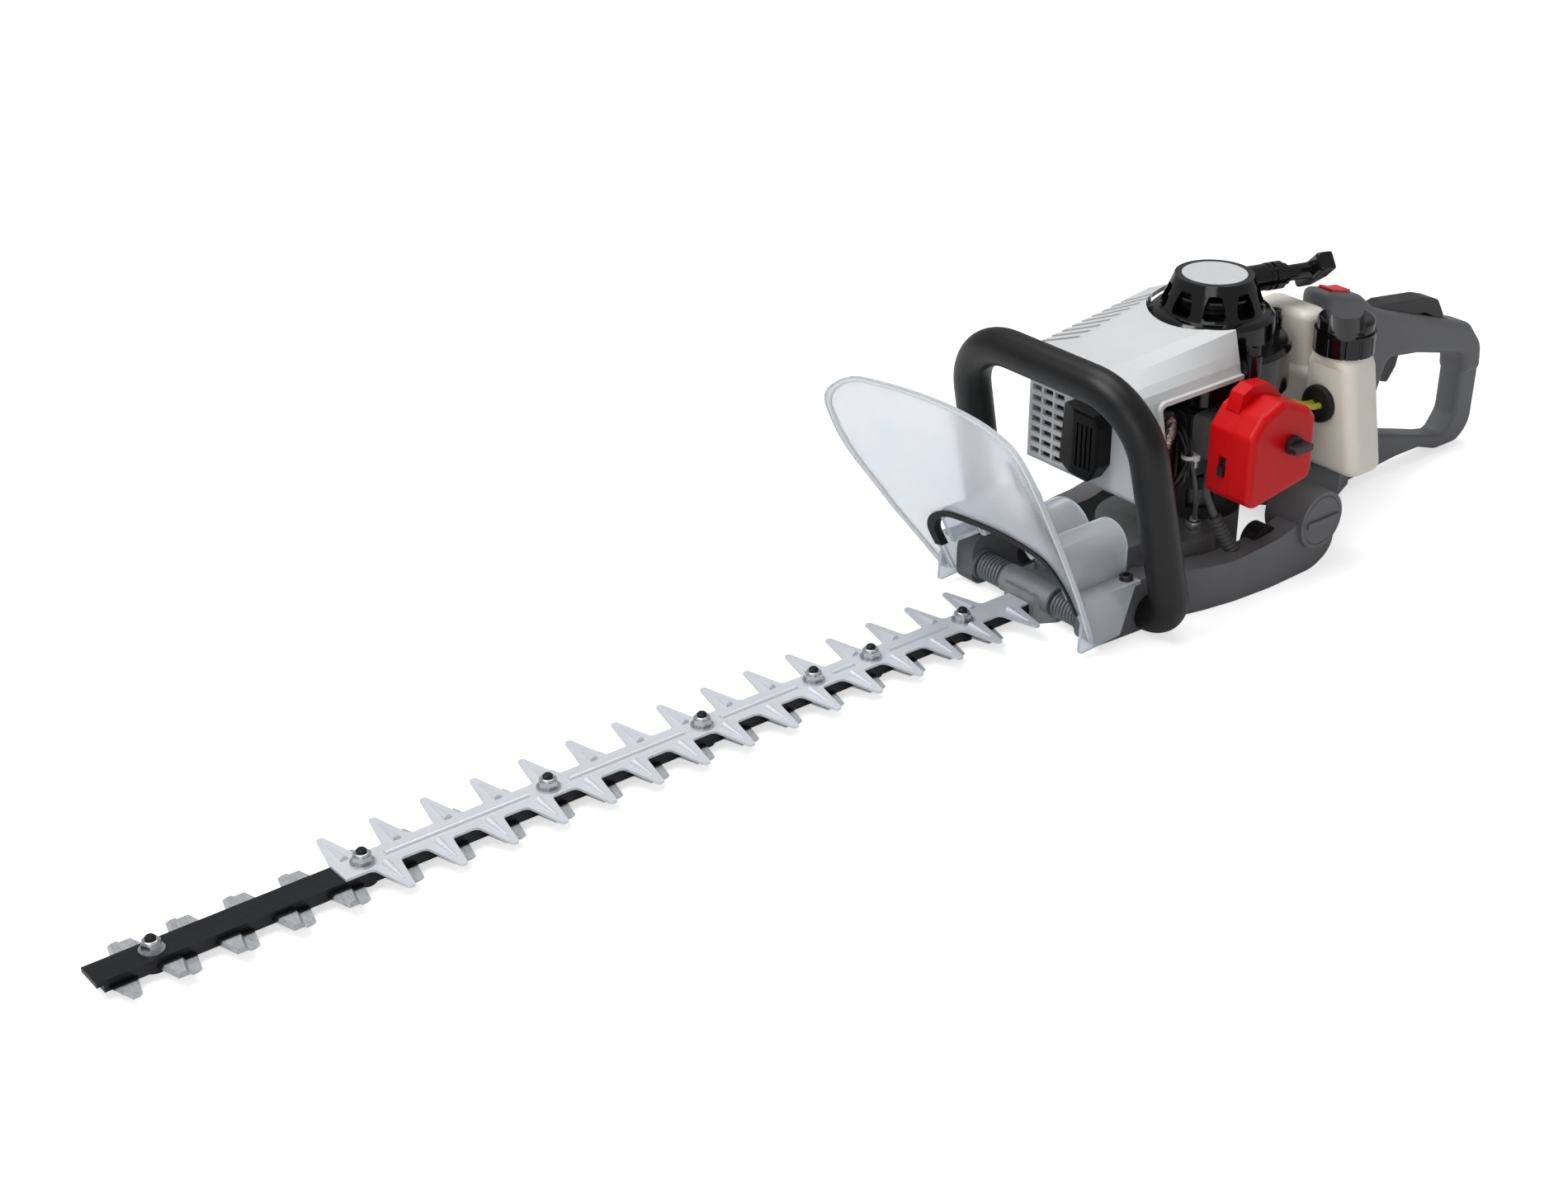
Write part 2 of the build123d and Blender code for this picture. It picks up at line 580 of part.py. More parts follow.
def cylinder():
    """Finned cylinder, lying forward from the crankcase."""
    body = along_x(23, CYLINDER_REAR_X, CYLINDER_FRONT_X, 0, CYLINDER_Z)
    fins = int((CYLINDER_REAR_X - CYLINDER_FRONT_X) / 6.5)
    fin = outline([(-30, -30), (34, -30), (34, 26), (-30, 26)], 9)
    for i in range(fins):
        x = CYLINDER_FRONT_X + 3 + 6.5 * i
        body += front_plate(Pos(0, CYLINDER_Z) * fin, x, x + 2.0)
    body += block(INTAKE_X - 22, INTAKE_X - 11, -32, -15, INTAKE_Z - 14, INTAKE_Z + 14)
    return body - along_x(5, CYLINDER_FRONT_X - 1, CYLINDER_FRONT_X + 12, 0, CYLINDER_Z)


def spark_plug():
    """Spark plug screwed into the cylinder head."""
    plug = along_x(5, CYLINDER_FRONT_X, CYLINDER_FRONT_X + 12, 0, CYLINDER_Z)
    hexagon = Pos(0, CYLINDER_Z) * RegularPolygon(8, 6)
    plug += front_plate(hexagon, CYLINDER_FRONT_X - 7, CYLINDER_FRONT_X)
    return plug + along_x(4, CYLINDER_FRONT_X - 15, CYLINDER_FRONT_X - 7, 0, CYLINDER_Z)


def plug_boot():
    """Rubber cap over the spark plug, with its outlet turned to the near side."""
    end_x = CYLINDER_FRONT_X - 24
    boot = along_x(8, end_x, CYLINDER_FRONT_X - 8, 0, CYLINDER_Z)
    boot += along_y(6, -BOOT_REACH, 0, BOOT_X, CYLINDER_Z)
    return boot - along_x(4, CYLINDER_FRONT_X - 15, CYLINDER_FRONT_X - 7, 0, CYLINDER_Z)


def muffler():
    """Pressed steel exhaust box on the far side of the cylinder head."""
    box = slab(outline([(-103, 13), (CYLINDER_FRONT_X, 13), (CYLINDER_FRONT_X, 55), (-103, 55)], 7), 78, 128)
    return fillet(box.edges().group_by(Axis.Z)[-1], 4)


def exhaust_deflector():
    """Black outlet hood in the front wall of the cover, sloped on its far half, grooved on its near half."""
    front_x = COVER_FRONT_X - DEFLECTOR_DEPTH
    hood = front_plate(outline(DEFLECTOR_OUTLINE, 4), front_x, COVER_FRONT_X + 4)
    slope = outline([(front_x, 3), (front_x + 9, 24), (front_x, 24)])
    hood -= slab(slope, 80, 140)
    rim = [edge for edge in hood.edges() if edge.center().X < front_x + 0.1 and edge.center().Y < 2]
    hood = fillet(rim, 2)
    return hood - [block(front_x - 1, front_x + 1.2, y, y + 1.6, 96, 126) for y in (-14, -10, -6, -2)]


def carburettor():
    """Diaphragm carburettor between the cylinder and the air filter."""
    body = block(INTAKE_X - 20, INTAKE_X + 12, FILTER_BACK_Y, -32, INTAKE_Z - 15, INTAKE_Z + 15)
    body = fillet(body.edges().filter_by(Axis.Y), 4)
    body += upright(7, INTAKE_Z - 20, INTAKE_Z - 14, INTAKE_X - 4, -44)
    return body - along_y(7, FILTER_BACK_Y - 1, -31, INTAKE_X - 4, INTAKE_Z)


def ignition_coil():
    """Coil block over the cylinder, beside the flywheel."""
    coil = block(COIL_X - 10, COIL_X + 10, -COIL_HALF_W, COIL_HALF_W, COIL_Z - 6.5, COIL_Z + 7)
    return fillet(coil.edges().filter_by(Axis.Z), 3)


def lead_route(points, radius):
    """Tube along straight runs with tangent bends."""
    runs = [Vector(*a) - Vector(*b) for a, b in zip(points[1:], points)]
    bends = []
    for a, b in zip(runs, runs[1:]):
        turn = math.radians(a.get_angle(b))
        bends.append(0.45 * min(a.length, b.length) / math.tan(turn / 2))
    print("bend radii", [round(r, 1) for r in bends])
    path = FilletPolyline(*points, radius=bends)
    start = Plane(path @ 0, z_dir=path % 0)
    return sweep(start * Circle(radius), path)


def ignition_lead():
    """High-tension lead, curving out from the plug cap and back to the coil."""
    start = Vector(BOOT_X, -BOOT_REACH, CYLINDER_Z)
    finish = Vector(COIL_X, -COIL_HALF_W, COIL_Z)
    span = Vector(finish.X - start.X, 0, finish.Z - start.Z)
    step = span / (1 + math.sqrt(2))
    out = Vector(0, -step.length * math.sqrt(0.5), 0)
    first = Vector(start.X, -LEAD_TURN_Y, start.Z)
    second = first + out + step * math.sqrt(0.5)
    last = Vector(finish.X, -LEAD_TURN_Y, finish.Z)
    points = [start, first, second, second + step, last, finish]
    return lead_route([tuple(point) for point in points], LEAD_R)


def filter_base():
    """Rear half of the air filter housing, screwed to the carburettor."""
    base = side_plate(outline(FILTER_OUTLINE, 4), FILTER_SEAM_Y, FILTER_BACK_Y)
    base += side_plate(outline(FILTER_BUMP, 1.5), FILTER_SEAM_Y + 2, FILTER_BACK_Y - 5)
    inner = offset(outline(FILTER_OUTLINE, 4), -FILTER_WALL)
    base -= side_plate(inner, FILTER_SEAM_Y - 1, FILTER_BACK_Y - FILTER_WALL)
    base -= block(FILTER_LEFT_X - 3, FILTER_LEFT_X + 7, CHOKE_Y - 3, CHOKE_Y + 3, CHOKE_Z - 4, CHOKE_Z + 10)
    base += along_y(5, FILTER_BACK_Y - 12, FILTER_BACK_Y - 1, KNOB_X, KNOB_Z)
    return base - along_y(2.9, FILTER_SEAM_Y, FILTER_BACK_Y - 4, KNOB_X, KNOB_Z)


def filter_cover():
    """Removable front half of the air filter housing."""
    cover = side_plate(outline(FILTER_OUTLINE, 6), FILTER_FACE_Y, FILTER_SEAM_Y - 0.1)
    cover = fillet(cover.faces().sort_by(Axis.Y)[0].edges(), 5)
    inner = offset(outline(FILTER_OUTLINE, 6), -FILTER_WALL - 1)
    cover -= side_plate(inner, FILTER_FACE_Y + FILTER_WALL + 1, FILTER_SEAM_Y + 1)
    return cover - along_y(2.9, FILTER_FACE_Y - 1, FILTER_SEAM_Y, KNOB_X, KNOB_Z)


def filter_element():
    """Foam element clamped between the housing halves."""
    inner = offset(outline(FILTER_OUTLINE, 6), -FILTER_WALL - 1.3)
    foam = side_plate(inner, FILTER_SEAM_Y - 8, FILTER_SEAM_Y + 8)
    foam -= block(FILTER_LEFT_X - 3, FILTER_LEFT_X + 9, CHOKE_Y - 7, CHOKE_Y + 5, CHOKE_Z - 8, CHOKE_Z + 14)
    return foam - along_y(6, FILTER_FACE_Y, FILTER_BACK_Y, KNOB_X, KNOB_Z)


def filter_knob():
    """Wing screw that holds the filter cover."""
    knob = along_y(6.5, FILTER_FACE_Y - 4.5, FILTER_FACE_Y - FREE_CLEARANCE, KNOB_X, KNOB_Z)
    wing = outline([(-8.5, -2.5), (8.5, -2.5), (8.5, 2.5), (-8.5, 2.5)], 2)
    knob += side_plate(Pos(KNOB_X, KNOB_Z) * wing, FILTER_FACE_Y - 11, FILTER_FACE_Y - 4)
    return knob + along_y(2.4, FILTER_FACE_Y - 1, FILTER_BACK_Y - 5, KNOB_X, KNOB_Z)


def choke_lever():
    """Choke slider whose tip shows in a slot of the filter housing."""
    inside = FILTER_LEFT_X + FILTER_WALL + FREE_CLEARANCE
    lever = block(FILTER_LEFT_X - 2, inside + 2, CHOKE_Y - 2, CHOKE_Y + 2, CHOKE_Z - 3, CHOKE_Z + 3)
    return lever + block(inside, inside + 2.4, CHOKE_Y - 4, CHOKE_Y + 4, CHOKE_Z - 6, CHOKE_Z + 6)


def tank_plan(near_y, corner, inset):
    """Rounded plan of the filler lobe."""
    points = [(TANK_FRONT_X + inset, near_y + inset), (TANK_REAR_X - inset, near_y + inset),
              (TANK_REAR_X - inset, TANK_LOBE_Y - inset), (TANK_FRONT_X + inset, TANK_LOBE_Y - inset)]
    return outline(points, corner - inset)


def tank_lump(y0, y1, z0, z1, set_back, inset):
    """Rounded block of the tank behind the engine."""
    x0 = TANK_FRONT_X + set_back
    plan = outline([(x0 + inset, y0 + inset), (TANK_REAR_X - inset, y0 + inset),
                    (TANK_REAR_X - inset, y1 - inset), (x0 + inset, y1 - inset)], TANK_CORNER_R - inset)
    body = slab(plan, z0 + inset, z1 - inset)
    ends = body.edges().group_by(Axis.Z)[0] + body.edges().group_by(Axis.Z)[-1]
    return fillet(ends, TANK_EDGE_R - inset)


def tank_shape(inset):
    """Outer or inner body of the blow-moulded tank: tapered filler lobe, cross body and hump."""
    foot = Pos(0, 0, TANK_BASE_Z + inset) * tank_plan(TANK_NEAR_Y, TANK_CORNER_R, inset)
    shoulder = Pos(0, 0, TANK_SHOULDER_Z - inset) * tank_plan(TANK_TOP_NEAR_Y, TANK_CORNER_R, inset)
    lobe = loft([foot, shoulder])
    lobe = fillet(lobe.edges().group_by(Axis.Z)[0], TANK_EDGE_R - inset)
    rim = 2 * (CAP_R - 2 - inset)
    neck = Pos(CAP_X, CAP_Y, TANK_NECK_Z - inset) * RectangleRounded(rim, rim, rim / 2 - 0.1)
    lobe += loft([shoulder, neck])
    lobe += tank_lump(TANK_LOBE_Y - 20, TANK_FAR_Y, TANK_BASE_Z, 124, 6, inset)
    return lobe + tank_lump(-28, 20, 90, 161, 9, inset)


def fuel_tank():
    """Translucent blow-moulded fuel tank behind the engine."""
    tank = tank_shape(0.0) + upright(NECK_R, TANK_NECK_Z - 6, TANK_NECK_Z + 6, CAP_X, CAP_Y)
    tank -= tank_shape(TANK_WALL)
    tank -= upright(NECK_R - TANK_WALL, TANK_NECK_Z - 8, TANK_NECK_Z + 7, CAP_X, CAP_Y)
    return tank - along_x(GROMMET_R - 4, TANK_FRONT_X - 1, TANK_FRONT_X + TANK_WALL + 1, GROMMET_Y, GROMMET_Z)


def fuel_cap():
    """Screw cap with a saddle-shaped grip."""
    z0 = TANK_NECK_Z + 0.4
    cap = upright(CAP_R, z0, z0 + 15)
    cap += upright(CAP_R - 1.5, z0 + 14, z0 + CAP_H)
    cap = fillet(cap.edges().group_by(Axis.Z)[-1], 3)
    valley = along_y(11.5, -40, 40, 0, z0 + CAP_H + 1)
    cap -= valley
    for side in (-1, 1):
        cap -= block(-12, 12, side * 13, side * 30, z0 + 16, z0 + CAP_H + 1)
    cap -= upright(NECK_R + 0.5, z0 - 1, z0 + 8)
    cap -= [Rot(0, 0, 30 * i) * upright(1.2, z0, z0 + 13, CAP_R + 0.5) for i in range(12)]
    return Pos(CAP_X, CAP_Y, 0) * Rot(0, 0, -50) * cap


def tank_grommet():
    """Rubber seal where the fuel hoses enter the tank."""
    seal = along_x(GROMMET_R, TANK_FRONT_X - 4, TANK_FRONT_X, GROMMET_Y, GROMMET_Z)
    seal = fillet(seal.edges().group_by(Axis.X)[0], 2)
    seal += along_x(GROMMET_R - 4, TANK_FRONT_X, TANK_FRONT_X + TANK_WALL, GROMMET_Y, GROMMET_Z)
    hose_x = (TANK_FRONT_X - 5, TANK_FRONT_X + 6)
    return seal - [along_x(HOSE_R, *hose_x, GROMMET_Y + y, GROMMET_Z) for y in HOSE_Y]


def fuel_hose(y):
    """Fuel hose from the tank seal to the carburettor."""
    y += GROMMET_Y
    z = GROMMET_Z
    points = [(TANK_FRONT_X + 2, y, z), (TANK_FRONT_X - 12, y, z), (30, y + 2, z + 8), (14, y + 6, z + 6),
              (INTAKE_X + 12, y + 6, z + 6)]
    return lead_route(points, HOSE_R)


def dome_profile(inset):
    """Half section of the starter housing."""
    outer = [(0, STARTER_BASE_Z), (STARTER_R, STARTER_BASE_Z), (STARTER_R, STARTER_LEDGE_Z - 3),
             (STARTER_R - 3, STARTER_LEDGE_Z), (STARTER_UPPER_R + 1, STARTER_LEDGE_Z),
             (STARTER_UPPER_R, DOME_BASE_Z - 4), (STARTER_UPPER_R - 3, DOME_BASE_Z - 1),
             (DOME_BASE_R, DOME_BASE_Z), (DOME_TOP_R, STARTER_TOP_Z), (0, STARTER_TOP_Z)]
    return [(max(0, r - inset), z - inset) for r, z in outer]


def spun(points):
    """Solid of revolution about the crank axis."""
    return revolve(Plane.XZ * outline(points), Axis.Z)


pulley_z = ROPE_Z - PULLEY_T / 2
rope_line = Rot(0, 0, ROPE_YAW) * Pos(0, PULLEY_R + ROPE_R + FREE_CLEARANCE, ROPE_Z)


def near_flat(grow):
    """Flat on the drum's near side, which leaves room for the wall of the engine cover."""
    far_y = COVER_NEAR_Y + COVER_WALL + 1 + grow
    return block(-2 * STARTER_R, FLAT_X + grow, -2 * STARTER_R, far_y, FLAT_Z - grow, STARTER_LEDGE_Z + 0.6)


def starter_housing():
    """Recoil starter housing: fan drum with a flat, stepped shoulder and a vented dome."""
    inside = spun(dome_profile(STARTER_WALL)) - near_flat(STARTER_WALL)
    foot_z = DOME_BASE_Z + 1.5
    arch_z = STARTER_TOP_Z - 6
    arch = outline([(-VENT_HALF_W, foot_z), (VENT_HALF_W, foot_z), (VENT_HALF_W - 1.5, arch_z - 6),
                    (4, arch_z), (-4, arch_z), (1.5 - VENT_HALF_W, arch_z - 6)], 2.5)
    vent = front_plate(arch, 15, 50)
    shell = spun(dome_profile(0.0)) - near_flat(0.0) - inside
    shell -= [Rot(0, 0, ROPE_YAW + 360 / VENTS * i) * vent for i in range(1, VENTS)]
    slat = upright(DOME_TOP_R + 2, arch_z - 6, arch_z - 4.6)
    shell += slat - upright(PULLEY_FLANGE_R + 2, arch_z - 7, arch_z)
    shell += upright(SHAFT_R, pulley_z - 2, STARTER_TOP_Z - 1)
    shell += rope_line * along_x(9, 18, GUIDE_X, 0, 0) - inside
    shell -= rope_line * along_x(ROPE_R + 1, 0, GUIDE_X + 1, 0, 0)
    shell -= upright(DISC_R, STARTER_TOP_Z - 1, STARTER_TOP_Z)
    boss = upright(BOSS_R, STARTER_BASE_Z, STARTER_LEDGE_Z + BOSS_RISE, STARTER_R - 3)
    return shell + [Rot(0, 0, a) * boss - inside for a in SCREW_ANGLES]


def starter_screw(angle):
    """Socket screw through a boss of the starter housing."""
    seat = STARTER_LEDGE_Z + BOSS_RISE
    head = upright(4.2, seat, seat + 5, STARTER_R - 3) - upright(2, seat + 2, seat + 6, STARTER_R - 3)
    return Rot(0, 0, angle) * head


def starter_disc():
    """Plain metal disc let into the top of the starter."""
    return upright(DISC_R - 0.1, STARTER_TOP_Z - 1, STARTER_TOP_Z + 0.2)


def starter_pulley():
    """Rope pulley on the housing post, with its groove."""
    top = pulley_z + PULLEY_T
    pulley = upright(PULLEY_FLANGE_R, pulley_z, top) - upright(SHAFT_R + FREE_CLEARANCE, pulley_z, top)
    groove = upright(PULLEY_FLANGE_R + 6, pulley_z + 2, top - 2) - upright(PULLEY_R, pulley_z + 2, top - 2)
    return pulley - groove


def rope_guide():
    """Bush that leads the starter rope out of the housing."""
    end = GUIDE_X + GUIDE_LENGTH
    bush = along_x(9.5, GUIDE_X, end, 0, 0) + along_x(7.5, end, end + COLLAR_LENGTH, 0, 0)
    bush -= along_x(11, GUIDE_X + 3, GUIDE_X + 5, 0, 0) - along_x(8.5, GUIDE_X + 3, GUIDE_X + 5, 0, 0)
    return rope_line * (bush - along_x(ROPE_R + 0.8, GUIDE_X, end + COLLAR_LENGTH, 0, 0))


def starter_grip():
    """Pull grip: a stem and a curved cross bar on the end of the rope."""
    x0 = GRIP_X
    grip = along_x(5.5, x0, x0 + 22, 0, 0)
    curve = [(16, -19), (29, -18), (32, 0), (29, 18), (16, 19), (19, 0)]
    cross = slab(Pos(x0, 0) * outline(curve, 3), -6.5, 6.5)
    cross = fillet(cross.edges().group_by(Axis.Z)[0] + cross.edges().group_by(Axis.Z)[-1], 2)
    cross -= [block(x0 + 26, x0 + 40, side * 5, side * 14, -3, 3) for side in (-1, 1)]
    grip += Rot(GRIP_ROLL, 0, 0) * cross
    return rope_line * (grip - along_x(ROPE_R, x0 - 1, x0 + KNOT_DEPTH, 0, 0))


def starter_rope():
    """Rope from the pulley through the bush into the grip."""
    return rope_line * along_x(ROPE_R, 0, GRIP_X + KNOT_DEPTH, 0, 0)


def cover_section(x, flank, ridge_y, top, drop, inset):
    """Cross section of the engine cover at one station: stepped flank, top panel and louvre panel."""
    near = COVER_NEAR_Y + inset
    far = COVER_FAR_Y - inset
    roof = top - inset
    points = [(near, COVER_BASE_Z - inset), (near, COVER_LIP_Z)]
    points += [(y + inset, z - inset / 2) for y, z in flank]
    points += [(ridge_y + inset / 2, roof), (LOUVRE_Y, roof), (far, roof - drop), (far, COVER_BASE_Z - inset)]
    return Plane((x, 0, 0), (0, 1, 0), (1, 0, 0)) * outline(points)


def cover_body(front_x, rear_x, inset):
    """Outer or inner body of the engine cover, rising and widening towards the starter."""
    front = cover_section(front_x, FLANK_FRONT, RIDGE_FRONT_Y, COVER_FRONT_TOP_Z, LOUVRE_FRONT_DROP, inset)
    rear = cover_section(rear_x, FLANK_REAR, RIDGE_REAR_Y, COVER_REAR_TOP_Z, LOUVRE_REAR_DROP, inset)
    return loft([front, rear])


def louvre_slots():
    """Slanted slots through the far top panel."""
    length = COVER_REAR_X - COVER_FRONT_X
    front_z = COVER_FRONT_TOP_Z - LOUVRE_FRONT_DROP / 2
    climb = (COVER_REAR_TOP_Z - LOUVRE_REAR_DROP / 2 - front_z) / length
    slot = Rot(0, 0, LOUVRE_SLANT) * Box(LOUVRE_W, COVER_FAR_Y - LOUVRE_Y, 16)
    middle_y = (LOUVRE_Y + COVER_FAR_Y) / 2 + 3
    places = [16 + (length - 30) / LOUVRES * i for i in range(LOUVRES)]
    return [Pos(COVER_FRONT_X + x, middle_y, front_z + climb * x) * slot for x in places]


def engine_cover():
    """Light moulded hood over the cylinder, with louvres, a grille and an open near side."""
    hood = cover_body(COVER_FRONT_X, COVER_REAR_X, 0.0)
    hood = fillet(hood.faces().sort_by(Axis.X)[0].edges(), COVER_FRONT_R)
    hood -= cover_body(COVER_FRONT_X + COVER_WALL, COVER_REAR_X + 1, COVER_WALL)
    frame = outline([(-99, COVER_LIP_Z), (COVER_REAR_X, COVER_LIP_Z), (COVER_REAR_X, 60), (-80, 60)], 6)
    lip = side_plate(frame, COVER_NEAR_Y - 3, COVER_NEAR_Y + COVER_WALL)
    hood += lip & block(-200, COVER_REAR_X, -60, 0, COVER_BASE_Z, 200)
    hood -= side_plate(offset(frame, -3), COVER_NEAR_Y - 5, COVER_NEAR_Y + 8)
    hood -= block(-78, COVER_REAR_X + 5, COVER_NEAR_Y - 5, COVER_NEAR_Y + 8, 50, COVER_LIP_Z - 3)
    hood -= block(COVER_NOTCH_X, COVER_REAR_X + 5, -80, 0, COVER_LIP_Z + 2, COVER_REAR_TOP_Z + 5)
    hood -= upright(STARTER_UPPER_R + 1.6, STARTER_LEDGE_Z - 1, COVER_REAR_TOP_Z + 5)
    hood -= upright(STARTER_R + 0.6, COVER_BASE_Z - 5, STARTER_LEDGE_Z + 0.6) - near_flat(-0.6)
    boss_room = upright(BOSS_R + 1, COVER_BASE_Z, STARTER_LEDGE_Z + 10, STARTER_R - 3)
    hood -= [Rot(0, 0, a) * boss_room for a in SCREW_ANGLES]
    hood -= front_plate(outline(DEFLECTOR_OUTLINE, 4), COVER_FRONT_X - 20, COVER_FRONT_X + 8)
    for y0, y1 in GRILLE_CELLS:
        hood -= [block(COVER_FRONT_X - 5, COVER_FRONT_X + 8, y0, y1, z, z + 4.2)
                 for z in [GRILLE_Z + GRILLE_PITCH * i for i in range(GRILLE_ROWS)]]
    hood -= louvre_slots()
    return hood.solids().sort_by(SortBy.VOLUME)[-1]


def loop_path(points):
    """Loop of the front handle in its leaning plane."""
    places = [(LOOP_FOOT_X - LOOP_LEAN * z, y, z) for y, z in points]
    bends = [LOOP_FOOT_R, LOOP_BEND_R, LOOP_BEND_R, LOOP_FOOT_R]
    return FilletPolyline(*places, radius=bends)


def loop_tube(radius, inner_y):
    """Round tube bent along the loop, its feet turned in."""
    half = [(inner_y, LOOP_FOOT_Z)] + LOOP_TURN_POINTS
    points = half + [(-y, z) for y, z in reversed(half)]
    path = loop_path(points)
    return sweep(Plane(path @ 0, z_dir=path % 0) * Circle(radius), path)


def front_handle_tube():
    """Steel loop handle, both feet held in the frame."""
    return loop_tube(TUBE_R, LOOP_INNER_Y - 8)


def front_handle_grip():
    """Foam sleeve over the whole visible loop."""
    return loop_tube(FOAM_R, LOOP_INNER_Y + 8) - loop_tube(TUBE_R, LOOP_INNER_Y)


def base_frame():
    """Moulded frame: two side rails with spring arms, rear mount bosses and a central stem."""
    rail = slab(shaped(RAIL_OUTER + RAIL_INNER), 0, 45) & side_plate(shaped(RAIL_PROFILE), -2, 100)
    rail += along_y(MOUNT_R + 3, 46, MOUNT_FACE_Y, MOUNT_X, MOUNT_Z)
    rail -= along_y(MOUNT_R, MOUNT_FACE_Y - 4, MOUNT_FACE_Y + 1, MOUNT_X, MOUNT_Z)
    rail -= upright(2.5, FLANGE_Z - 12, FLANGE_Z, *GUARD_SCREW)
    rail -= mount_buffer()
    frame = rail + mirrored(rail)
    frame -= sleeve_plane * upright(SLEEVE_RIB_R, 0, SLEEVE_LENGTH)
    return frame - loop_tube(TUBE_R, LOOP_INNER_Y - 8)


def mount_cap(side):
    """Slotted cap of a rear vibration mount."""
    cap = along_y(MOUNT_R - 0.1, MOUNT_FACE_Y - 4, MOUNT_FACE_Y + 0.6, MOUNT_X, MOUNT_Z)
    cap = chamfer(cap.edges().group_by(Axis.Y)[-1], 1)
    half = MOUNT_R - 2
    cap += block(MOUNT_X - half, MOUNT_X + half, MOUNT_FACE_Y, MOUNT_FACE_Y + 2.5, MOUNT_Z - 2, MOUNT_Z + 2)
    return cap if side > 0 else mirrored(cap)


def rounded_plate(face, half_w, radius):
    """Plate on the machine's middle plane with both rims rounded."""
    plate = side_plate(face, -half_w, half_w)
    rims = plate.faces().sort_by(Axis.Y)[0].edges() + plate.faces().sort_by(Axis.Y)[-1].edges()
    return fillet(rims, radius)


def handle_shell():
    """Closed D-shaped rear handle: full round grip, thinner lower arm, hollow inside."""
    grip = shaped(GRIP_OUTLINE)
    arm = shaped(ARM_OUTLINE)
    body = rounded_plate(grip, GRIP_HALF_W, GRIP_RIM_R) + rounded_plate(arm, ARM_HALF_W, ARM_RIM_R)
    body -= [along_y(14, -40, 40, x, z) for x, z in FINGER_GROOVES]
    hollow_w = ARM_HALF_W - GRIP_WALL
    body -= side_plate(offset(grip, -GRIP_WALL), -hollow_w, hollow_w)
    body -= side_plate(offset(arm, -GRIP_WALL), -hollow_w, hollow_w)
    body -= block(0, HANDLE_SPLIT_X, -40, 40, 0, STEM_TOP_Z)
    body += [along_y(5, -hollow_w - 1, hollow_w + 1, x, z) for x, z in GRIP_SCREWS]
    trigger_slot = outline([(166, 112), (204, 104), (204, 76), (166, 76)])
    body -= side_plate(trigger_slot, -TRIGGER_HALF_W - 0.6, TRIGGER_HALF_W + 0.6)
    lock_slot = outline([(160, 152), (248, 128), (248, 100), (160, 118)])
    body -= side_plate(lock_slot, -LOCK_HALF_W - 0.6, LOCK_HALF_W + 0.6)
    switch_w = SWITCH_HALF_W + 0.6
    body -= block(SWITCH_X - 12, SWITCH_X + 10.8, -switch_w, switch_w, SWITCH_Z - 9, SWITCH_Z + 12)
    pivots = [TRIGGER_PIVOT, LOCK_PIVOT, SWITCH_PIVOT]
    return body + [along_y(PIVOT_R, -hollow_w - 1, hollow_w + 1, x, z) for x, z in pivots]


def handle_half(shell, side):
    """One moulded half of the rear handle, split on the machine's middle plane."""
    half = shell & block(0, 400, 0, side * 60, -20, 250)
    half -= [along_y(SCREW_R, -SCREW_END_Y, 40, x, z) for x, z in GRIP_SCREWS]
    if side > 0:
        half -= [along_y(SCREW_HEAD_R, SCREW_SEAT_Y, 40, x, z) for x, z in GRIP_SCREWS]
    return half


def handle_screw(x, z):
    """Screw that joins the handle halves, its head sunk in the far half."""
    screw = along_y(SCREW_R, -SCREW_END_Y, SCREW_SEAT_Y, x, z)
    screw += along_y(SCREW_HEAD_R, SCREW_SEAT_Y, SCREW_SEAT_Y + 2.6, x, z)
    return screw - block(x - 2, x + 2, SCREW_SEAT_Y + 1.4, SCREW_SEAT_Y + 4, z - 0.5, z + 0.5)


def pivoted(profile, half_w, pivot):
    """Flat lever with a bore on its pivot pin."""
    lever = side_plate(profile, -half_w, half_w)
    return lever - along_y(PIVOT_R + FREE_CLEARANCE, -half_w - 1, half_w + 1, *pivot)


def throttle_trigger():
    """Curved throttle trigger under the grip."""
    profile = outline([(168, 110), (178, 109), (199, 97), (196, 84), (188, 74), (181, 76), (180, 86),
                       (172, 96)], 2)
    return pivoted(profile, TRIGGER_HALF_W, TRIGGER_PIVOT)


def throttle_lock():
    """Palm lever on top of the grip that frees the trigger."""
    profile = shaped([(163, 126, 2), (166, 135, 4), (176, 137, 10), (220, 131, 20), (235, 126, 8),
                      (245, 110, 2), (238, 110, 2), (222, 119, 10), (176, 124, 8)])
    return pivoted(profile, LOCK_HALF_W, LOCK_PIVOT)


def stop_switch():
    """Rocker that cuts the ignition."""
    rocker = outline([(-9, -4), (9, -4), (10, 3), (0, 4.5), (-10, 8)], 1)
    return pivoted(Pos(*SWITCH_PIVOT) * rocker, SWITCH_HALF_W, SWITCH_PIVOT)


def arc_pair(p0, t0, p1, t1):
    """Two tangent arcs between two points with given directions."""
    chord = p1 - p0
    both = t0 + t1
    bend = 2 * (1 - t0.dot(t1))
    reach = (math.sqrt(chord.dot(both) ** 2 + bend * chord.dot(chord)) - chord.dot(both)) / bend
    middle = (p0 + t0 * reach + p1 - t1 * reach) * 0.5
    first = TangentArc(p0, middle, tangent=t0)
    return [first, TangentArc(middle, p1, tangent=first % 1)]


